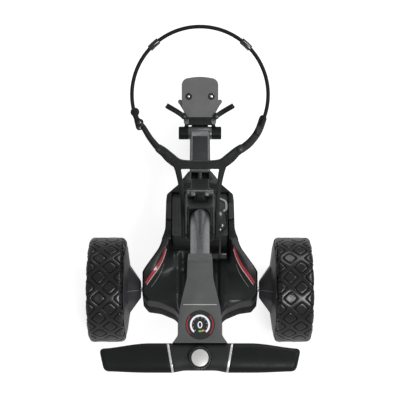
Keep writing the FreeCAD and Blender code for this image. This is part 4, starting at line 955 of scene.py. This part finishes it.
@dataclass
class UpperSupport:
    """Yoke, strap lever, swinging arm, pads and strap that hold the bag's upper end."""

    matrix: Matrix
    yoke_pivot: Vector
    half_thickness: float = 9.0
    pin: Point = (98.0, 36.0)
    lever_top: float = 17.0
    ring_radius: float = 160.0
    ring_centre: float = 165.0
    left_end: float = 202.0
    right_end: float = -28.0
    hook: float = 194.5
    reach: float = -20.5

    def on_ring(self, angle: float) -> Point:
        """Point of the strap's ring at an angle in degrees."""
        turn = math.radians(angle)
        return self.ring_radius * math.cos(turn), self.ring_centre + self.ring_radius * math.sin(turn)

    def build(self, shop: Workshop) -> None:
        """Makes the whole upper support."""
        shop.stand(self.yoke(), "yoke_frame", CAST)
        self.lever(shop)
        self.arm(shop)
        shop.soft("yoke_pads", 1.2, PAD)
        shop.dress("yoke_pins", PIN)
        shop.dress("bag_strap", STRAP)
        shop.soft("strap_fittings", 0.8, GLOSS)

    def yoke(self) -> Piece:
        """Cast frame: crossbar, two arms, two legs and their knuckles."""
        t = self.half_thickness
        pivot = self.matrix.inverted() @ self.yoke_pivot
        parts = [Ribbon(((-52, -3, 19), (0, -3.5, 18.5), (52, -3, 19)), -t, t).mesh(self.matrix)]
        for _, s in SIDES:
            parts.append(Ribbon(((s * 20, -3, 18), (s * 50, -1, 22), (s * 70, 12, 24), (s * 86, 27, 21),
                                 (s * self.pin[0], self.pin[1], 19)), -t, t).mesh(self.matrix))
            parts.append(Ribbon(((s * 60, 8, 16), (s * 52, -20, 14), (s * 46, -56, 11), (s * 42.5, -96, 10),
                                 (s * 41, pivot.y, 9.4)), -t, t).mesh(self.matrix))
            parts.append(x_cylinder(s * 41 - 4.6, s * 41 + 4.6, pivot.y, pivot.z, 9.5, self.matrix))
        return blended("yoke_casting", parts, 1.2, 6, CAST)

    def lever(self, shop: Workshop) -> None:
        """Over-centre lever on the left with its hook and its thumb pad."""
        low, high = self.half_thickness + 0.3, self.lever_top
        x, y = self.on_ring(self.left_end)
        px, py = -self.pin[0], self.pin[1]
        tip_x, tip_y = self.on_ring(self.hook)
        body = Ribbon(((px + 15, py - 12, 4), (px + 2, py - 1, 15), (-118, 62, 14), (-134, 88, 13), (x, y, 12),
                       (tip_x, tip_y, 14)), low, high - 0.3)
        knobs = [turned([(0.3, low), (r, low), (r, high - 1), (r - 1, high - 0.3), (0.3, high - 0.3)],
                        self.matrix @ Matrix.Translation((cx, cy, 0)), 40)
                 for cx, cy, r in ((tip_x + 1, tip_y, 10.5), (x + 7, y - 4, 7.5))]
        pad = Ribbon(((x, y, 15), (x + 4, y - 16, 15)), low, high)
        tip = Ribbon(((px + 4, py - 2, 12), (px + 13, py - 15, 3)), low, high - 1)
        rib = Ribbon(((px - 6, py + 8, 5), (-121, 66, 5), (-135, 88, 4)), high - 1, high + 1.4)
        parts = [piece.mesh(self.matrix) for piece in (body, pad, tip, rib)] + knobs
        shop.stand(blended("strap_lever_cast", parts, 0.9, 4, ARM), "strap_lever", ARM)

    def arm(self, shop: Workshop) -> None:
        """Swinging arm on the right that carries the strap."""
        low, high = self.half_thickness + 0.3, self.lever_top
        x, y = self.on_ring(self.right_end)
        far_x, far_y = self.on_ring(self.reach)
        body = Ribbon(((self.pin[0], self.pin[1], 19), (115, 49, 19), (130, 66, 18), (x - 1, y - 6, 18),
                       (far_x - 1, far_y, 18)), low, high - 0.3)
        socket = Ribbon(((x - 3, y - 12, 14), (x - 0.5, y - 2, 14)), high - 2, high + 9)
        rib = Ribbon(((106, 47, 4), (119, 60, 4), (130, 75, 4)), high - 1, high + 1.2)
        parts = [piece.mesh(self.matrix) for piece in (body, socket, rib)]
        shop.stand(blended("strap_arm_cast", parts, 0.9, 4, ARM), "strap_arm", ARM)


def x_cylinder(x0: float, x1: float, y: float, z: float, radius: float, matrix: Matrix) -> Mesh:
    """Rod along x in a local frame."""
    turn = Matrix.Rotation(math.radians(90), 4, "Y")
    place = matrix @ Matrix.Translation((0, y, z)) @ turn
    return prism(circle(radius, 40), min(x0, x1), max(x0, x1), place)


# Chassis, stem and lower support ------------------------------------------------------------------
@dataclass
class Deck:
    """Rear half of the upper shell: two flowing wings, a valley beside the stem and a spine under it."""

    skin: BVHTree
    front: float = 34.0
    tail: float = -166.6
    foot: float = 140.3
    wall: float = 3.0
    level: float = 189.5
    spine: float = 31.0
    valley: float = 45.0
    crest: float = 62.0
    dip: float = 13.0
    edge_round: float = 7.0
    ledge: float = 15.0

    def half_width(self, y: float) -> float:
        """Half width of the shell just over its parting line."""
        hit = self.skin.ray_cast(Vector((1, y * MM, (self.foot + 11) * MM)), Vector((-1, 0, 0)))[0]
        return hit.x / MM if hit else 40.0

    def rim(self, y: float) -> float:
        """Height of the shell's outer edge."""
        x = max(20.0, self.half_width(y) - 12)
        hit = self.skin.ray_cast(Vector((x * MM, y * MM, 1)), Vector((0, 0, -1)))[0]
        return hit.z / MM if hit else 160.0

    def height(self, x: float, y: float, half: float | None = None, rim: float | None = None) -> float:
        """Height of the deck over a point."""
        half = self.half_width(y) if half is None else half
        rim = self.rim(y) if rim is None else rim
        far = abs(x)
        level = min(self.level, rim + 5)
        near_tray = smooth_step(y, self.front - 40, self.front)
        start = self.crest + (76 - self.crest) * near_tray
        end = half - 0.22 * (half - self.crest) * (1 - near_tray)
        end = end * (1 - near_tray) + 81 * near_tray
        rise = smooth_step(far, start, max(start + 2, end))
        flat = 1 - smooth_step(y, self.front - 26, self.front - 4)
        fade = smooth_step(y, self.tail + 6, self.tail + 60)
        valley = self.dip * (1 - smooth_step(abs(far - self.valley), 0, 16)) * flat * fade
        spine = 4 * (1 - smooth_step(far, 0, self.spine)) * flat * fade
        ledge = self.ledge * smooth_step(y, self.front - 62, self.front - 14)
        ledge *= 1 - smooth_step(y, self.front - 10, self.front)
        clear = 1 - smooth_step(x, 20, 27) * (1 - smooth_step(x, 76, 80))
        z = level + (rim - level) * rise - valley + (spine + ledge * clear) * (1 - rise)
        edge = far - (half - self.edge_round)
        if edge > 0:
            z -= self.edge_round - math.sqrt(max(0.0, self.edge_round ** 2 - edge ** 2))
        return z

    def stations(self) -> list[float]:
        """Places along the deck, closer together where it widens quickly."""
        made = [self.tail]
        while made[-1] < self.front:
            step = 3.0
            while step > 0.5 and abs(self.half_width(made[-1] + step) - self.half_width(made[-1])) > 4:
                step /= 2
            made.append(min(self.front, made[-1] + step))
        return made

    def build(self, shop: Workshop) -> None:
        """Lofts the deck as a thin shell."""
        sections = []
        for y in self.stations():
            half, rim = self.half_width(y), self.rim(y)
            shares = [math.sin(math.pi / 2 * i / 40) for i in range(-40, 41)]
            closed = y < self.tail + 4
            outer = [Vector((half * k, y, self.height(half * k, y, half, rim))) for k in shares]
            inner = []
            for point in reversed(outer):
                if closed:
                    inner.append(Vector((point.x * (half - self.wall) / half, y, self.foot + 0.5)))
                    continue
                before, after = (self.height(point.x + d, y, half, rim) for d in (-1, 1))
                slope = 0.0 if abs(point.x) > half - 1.2 else (after - before) / 2
                length = math.hypot(1, slope)
                x = min(half - self.wall, max(self.wall - half, point.x + self.wall * slope / length))
                inner.append(Vector((x, y, max(self.foot + 0.5, point.z - self.wall / length))))
            corners = [Vector((x, y, self.foot)) for x in (-half, half, half - self.wall, self.wall - half)]
            sections.append([corners[0], *outer, *corners[1:3], *inner, corners[3]])
        bm = bmesh.new()
        rings = [[bm.verts.new(point * MM) for point in section] for section in sections]
        bridge(bm, rings, False)
        for ring in (rings[0], rings[-1]):
            last = len(ring) - 1
            for i in range(last // 2):
                bm.faces.new((ring[i], ring[i + 1], ring[last - 1 - i], ring[last - i]))
        fit(keep("chassis_deck", bm, (SHELL,), 40), "chassis")

    def ribbon(self, line: Sequence[Point], width: Sequence[float], lift: float) -> Mesh:
        """Thin strip that lies on the deck along a curve, on both sides of the trolley."""
        points = curve_through([(x, y, w) for (x, y), w in zip(line, width)], 12)
        strips = []
        for _, side in SIDES:
            sections = []
            for i, point in enumerate(points):
                before, after = points[max(0, i - 1)], points[min(len(points) - 1, i + 1)]
                along = (after.xy - before.xy).normalized()
                across = Vector((-along.y, along.x)) * point.z / 2
                top = [point.xy + across * k for k in (-1, -0.4, 0.4, 1)]
                upper = [Vector((side * p.x, p.y, self.height(p.x, p.y) + lift)) for p in top]
                lower = [Vector((p.x, p.y, p.z - lift - 0.8)) for p in reversed(upper)]
                sections.append(upper + lower)
            strips.append(loft(sections, Matrix.Scale(MM, 4)))
        return merged(strips)

    def stripes(self, shop: Workshop) -> None:
        """Red stripes with their pale inner edge, and the grey line beside them."""
        red = self.ribbon(((90, 16), (101, -7), (113, -26), (129, -46), (144, -67)),
                          (2.0, 3.6, 4.6, 5.4, 5.0), 0.7)
        shop.stand(keep("red_stripes", red, (STRIPE,)), "side_stripes", STRIPE)
        pale = self.ribbon(((88.6, 13), (98.4, -10), (110, -29.5), (125.5, -50), (141, -71.5)),
                           (1.5, 1.7, 1.9, 1.9, 1.5), 0.9)
        fit(keep("pale_stripe_edges", pale, (STRIPE_EDGE,)), "chassis")
        grey = self.ribbon(((95, -17), (105, -40), (117, -61), (129, -77)), (0.6, 1.2, 1.4, 0.8), 0.6)
        fit(keep("grey_stripe_lines", grey, (STRIPE_LINE,)), "chassis")


@dataclass
class Chassis:
    """Shells, neck, battery and drive."""

    deck_front: float = 34.0

    def build(self, shop: Workshop) -> None:
        """Makes and dresses every piece that stands on the chassis."""
        self.shell(shop)
        shop.soft("chassis_lower_shell", 2.0, BELLY)
        shop.cast("neck_frame", "neck_casting", 1.3, 6, CAST)
        shop.cast("stem_hood", "hood_casting", 1.5, 45, CAST)
        shop.soft("lower_stem", 1.5, LOWER_TUBE)
        shop.soft("lower_stem_panel", 0.6, PANEL)
        shop.cast("lock_lever", "release_lever", 0.9, 5, BARREL)
        shop.soft("battery_case", 1.5, BATTERY)
        shop.dress("battery_lid", BATTERY)
        self.bulb(shop)
        lid_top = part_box("battery_lid")[1].z / MM
        # Pale strip along the lid's right front edge, on that side only: a painted highlight.
        lid_highlight = Ribbon(((44, 160, 4), (67, 148, 5), (71, 136, 6), (70, 122, 6), (64, 117, 5), (63.5, 98, 5)),
                      lid_top - 0.5, lid_top + 1.6).mesh(Matrix.Scale(MM, 4))
        soften(lid_highlight, 0.5, 2, 30)
        fit(keep("battery_trim", lid_highlight, (LID_HIGHLIGHT_PAINT,)), "battery")
        shop.soft("battery_plug", 2.5, GLOSS, 4)
        for name, _ in SIDES:
            shop.soft("battery_clip_" + name, 0.8, PANEL)
        for node, finish in (("battery_lead", CABLE), ("stem_tube", STEM_TUBE),
                             ("hinge_pins", PIN), ("motor", CAN), ("gearbox_case", PANEL), ("axle_bearings", STEEL),
                             ("control_board", BOARD), ("chassis_screws", STEEL), ("drive_axle", STEEL),
                             ("output_gear", STEEL), ("motor_pinion", STEEL), ("battery_cells", CELLS)):
            shop.dress(node, finish)

    def shell(self, shop: Workshop) -> None:
        """Tray half of the upper shell, and the deck behind it."""
        copy = shop.copy("chassis_upper_shell")
        deck = Deck(BVHTree.FromBMesh(copy), front=self.deck_front)
        piece = keep("chassis_tray", copy, (SHELL,))
        cut_out(piece, box_mesh((-200, -400, 0), (200, self.deck_front - 0.4, 500)))
        bm = bmesh.new()
        bm.from_mesh(piece.data)
        bmesh.ops.dissolve_limit(bm, angle_limit=math.radians(FLAT), verts=bm.verts, edges=bm.edges)
        soften(bm, 2.5, 3, 30)
        bpy.data.objects.remove(piece)
        shop.stand(keep("chassis_tray", bm, (SHELL,)), "chassis_upper_shell", SHELL)
        deck.build(shop)
        deck.stripes(shop)

    def bulb(self, shop: Workshop) -> None:
        """Glossy bulb that the battery's lead comes out of."""
        low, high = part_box("lead_gland")
        centre, half = (low + high) / 2, (high - low) / 2
        sections = []
        for i in range(25):
            t = -math.cos(math.pi * i / 24)
            swell = max(0.04, 1 - abs(t) ** 2.6) ** 0.5
            if t < -0.55:
                swell = max(swell, 0.3)
            turns = [2 * math.pi * k / 40 for k in range(40)]
            sections.append([Vector((centre.x + half.x * swell * math.cos(a), centre.y + half.y * t,
                                     low.z + half.z * (1 + swell * math.sin(a)))) for a in turns])
        bm = loft(sections, Matrix())
        shop.stand(keep("lead_bulb", bm, (GLOSS,), 60), "lead_gland", GLOSS)


def box_mesh(low: Sequence[float], high: Sequence[float]) -> Mesh:
    """Closed box between two corners in millimetres."""
    outline = [(low[0], low[1]), (high[0], low[1]), (high[0], high[1]), (low[0], high[1])]
    return prism(outline, low[2], high[2], Matrix.Scale(MM, 4))


@dataclass
class LowerSupport:
    """Plate, cradle arms, fork and front wheel."""

    axle: Vector
    plate: Matrix
    half: float = 52.0
    length: float = 57.0
    step: float = 3.5
    top: float = 5.0
    screws: tuple[Point, ...] = ((-32.0, 2.0), (32.0, 2.0))
    ear: Point = (46.0, -54.0)
    corner: float = 20.0
    recess: float = 7.5

    def build(self, shop: Workshop, tree: bpy.types.NodeTree) -> None:
        """Makes and dresses the lower support."""
        self.domed_plate(shop)
        shop.cast("front_fork", "fork_casting", 1.3, 5, CAST)
        for name, _ in SIDES:
            shop.soft("cradle_arm_" + name, 0.8, PAD)
        heads = shop.soft("front_fasteners", 0.3, PIN, 2, extra=(STEEL,))
        spots = [self.plate @ Vector((x, y, 3)) for x, y in self.screws]
        for face in heads.data.polygons:
            if min((face.center - spot).length for spot in spots) < 9 * MM:
                face.material_index = 1
        shop.soft("front_rim", 1.0, RIM)
        Tyre("front_tread", "front_wheel", self.axle, radius=90.0, width=50.0, shoulder=9.0, seat=62.0, rows=16,
             columns=4, spacing=14.0, block_half=6.0, groove=1.0, depth=2.6).build(tree, "front_tyre")
        shop.left.discard("front_tyre")

    def domed_plate(self, shop: Workshop) -> None:
        """Plate with a domed top edge, round screw recesses and two ears."""
        r = self.corner
        right = [(x, self.length - 3.5 * (x / (self.half - r)) ** 2) for x in (0, 8, 16, 24)]
        turns = [math.radians(a) for a in range(8, 91, 9)]
        right += [(self.half - r + r * math.sin(a), self.length - 3.5 - r + r * math.cos(a)) for a in turns]
        right += [(self.half, -16)]
        turns = [math.radians(a) for a in range(8, 81, 9)]
        right += [(self.half - 15 + 15 * math.cos(a), -18 - 30 * math.sin(a)) for a in turns]
        right += [(self.half - 17, -57)]
        outline = right + [(-x, y) for x, y in reversed(right) if x]
        plate = prism(outline, -self.top, self.top, self.plate)
        soften(plate, 1.3, 3, 25)
        piece = keep("domed_plate", plate, (PLATE,), 40)
        for x, y in self.screws:
            cut_out(piece, prism(circle(self.recess, 40, (x, y)), 1.0, 20, self.plate), 40)
        shop.stand(piece, "bag_plate", PLATE)
        ears = Ribbon(((-self.ear[0], self.ear[1], 18), (self.ear[0], self.ear[1], 18)), -self.top, self.step)
        bm = ears.mesh(self.plate)
        soften(bm, 1.0)
        fit(keep("plate_ears", bm, (CAST,)), "front")
        lugs = [Ribbon(((s * 40, -52, 15), (s * 39, -72, 15)), -12, -1).mesh(self.plate) for _, s in SIDES]
        lugs += [Ribbon(((s * 57, -14, 12), (s * 50, -22, 14), (s * 42, -38, 12)), -self.top - 5,
                        -self.top + 1).mesh(self.plate) for _, s in SIDES]
        lugs += [turned([(0.4, -2), (5.2, -2), (5.2, 0.8), (4.4, 1.6), (2.0, 1.6), (1.6, 0.4), (0.4, 0.4)],
                        self.plate @ Matrix.Translation((s * 39.5, -63, 0)), 32) for _, s in SIDES]
        fit(blended("bracket_lugs", lugs, 0.7, 2, LUG), "front")
        collar = [(3.2, 3.5), (7.3, 3.5), (7.3, 4.9), (9.8, 4.9), (9.8, 5.4), (8.6, 5.9), (3.2, 4.2)]
        places = [self.plate @ Matrix.Translation((x, y, 0)) for x, y in self.screws]
        rings = merged(turned(collar, place, 48) for place in places)
        fit(keep("screw_recess_rings", rings, (GLOSS,)), "front")


# Studio -------------------------------------------------------------------------------------------
@dataclass
class Studio:
    """Camera, lamps, floor and surroundings."""

    camera_at: tuple[float, float, float] = (0.0, -1.2868, 2.847)
    camera_pitch: float = 29.0
    lens: float = 99.0
    aim: tuple[float, float, float] = (0.0, 0.0, 0.35)

    def build(self) -> None:
        """Sets the whole studio up."""
        scene = bpy.context.scene
        scene.view_settings.view_transform = "Standard"
        camera = bpy.data.objects.new("camera", bpy.data.cameras.new("camera"))
        camera.location = self.camera_at
        camera.rotation_euler = (math.radians(self.camera_pitch), 0, 0)
        camera.data.lens = self.lens
        scene.collection.objects.link(camera)
        scene.camera = camera
        self.lamp("key", (1.6, -4.7, 4.9), 1.6, 165.0)
        self.lamp("top", (3.6, 0.2, 5.4), 1.6, 95.0)
        self.lamp("back", (1.2, 4.6, 4.4), 2.2, 64.0)
        self.floor()
        self.surroundings()

    def lamp(self, name: str, at: tuple[float, float, float], size: float, power: float) -> None:
        """Soft square lamp that faces the trolley."""
        lamp = bpy.data.objects.new(name, bpy.data.lights.new(name, "AREA"))
        lamp.data.size, lamp.data.energy = size, power
        lamp.location = at
        lamp.rotation_euler = (Vector(self.aim) - Vector(at)).to_track_quat("-Z", "Y").to_euler()
        bpy.context.scene.collection.objects.link(lamp)

    def floor(self) -> None:
        """Pale floor that keeps the trolley's shadow."""
        bm = bmesh.new()
        bmesh.ops.create_grid(bm, x_segments=8, y_segments=8, size=12)
        bmesh.ops.translate(bm, verts=bm.verts, vec=(0, 0, -0.0003))
        floor = keep("floor", bm, ())
        made = bpy.data.materials.new("pale_floor")
        made.use_nodes = True
        graph = Graph(made.node_tree)
        shader = made.node_tree.nodes["Principled BSDF"]
        shader.inputs["Base Color"].default_value = (0.55, 0.55, 0.55, 1)
        shader.inputs["Roughness"].default_value = 0.9
        shader.inputs["Emission Color"].default_value = (1, 1, 1, 1)
        ray = graph.node("ShaderNodeLightPath").outputs
        seen = graph.math("ADD", graph.math("MULTIPLY", ray["Is Camera Ray"], 0.76),
                          graph.math("MULTIPLY", ray["Is Glossy Ray"], 0.25))
        graph.feed(shader.inputs["Emission Strength"], seen)
        floor.data.materials.append(made)

    def surroundings(self) -> None:
        """White to the camera and in reflections, and a soft grey as light."""
        world = bpy.data.worlds.new("white_room")
        bpy.context.scene.world = world
        world.use_nodes = True
        graph = Graph(world.node_tree)
        back = world.node_tree.nodes["Background"]
        back.inputs["Color"].default_value = (1, 1, 1, 1)
        ray = graph.node("ShaderNodeLightPath").outputs
        seen = graph.math("MAXIMUM", ray["Is Camera Ray"], ray["Is Transmission Ray"])
        soft = graph.math("ADD", 0.34, graph.math("MULTIPLY", ray["Is Glossy Ray"], 0.1))
        graph.feed(back.inputs["Strength"], graph.math("MAXIMUM", seen, soft))


def main() -> None:
    """Builds the trolley's looks, sub-assembly by sub-assembly."""
    logging.basicConfig(level=logging.INFO, format="%(message)s")
    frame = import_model()
    Studio().build()
    record = frame["record"]
    frames = Frames({joint["name"]: joint for joint in frame["joints"]})
    frames.add_plate(record["mounts"][0])
    shop = Workshop(frame)
    tree = tread_tree()
    for name, side in SIDES:
        DriveWheel(name, side, frames.rear_axle).build(shop, tree)
    Chassis().build(shop)
    handle = Handle(frames.handle)
    handle.build(shop)
    handle.display(shop)
    for node, width, finish in (("console_cover", 1.5, CONSOLE), ("console_base", 1.5, CONSOLE),
                                ("speed_knob", 0.25, KNOB), ("knob_face", 0.4, ALLOY)):
        shop.soft(node, width, finish)
    for node, finish in (("display_board", BOARD), ("handle_core", ALLOY), ("encoder_shaft", STEEL)):
        shop.dress(node, finish)
    UpperSupport(frames.bag, Vector(frames.joints["yoke_fold"]["pos_m"])).build(shop)
    LowerSupport(frames.front_axle, frames.plate).build(shop, tree)
    LOG.info("nodes without a finish: %s", sorted(shop.left))


if __name__ == "__main__":
    main()
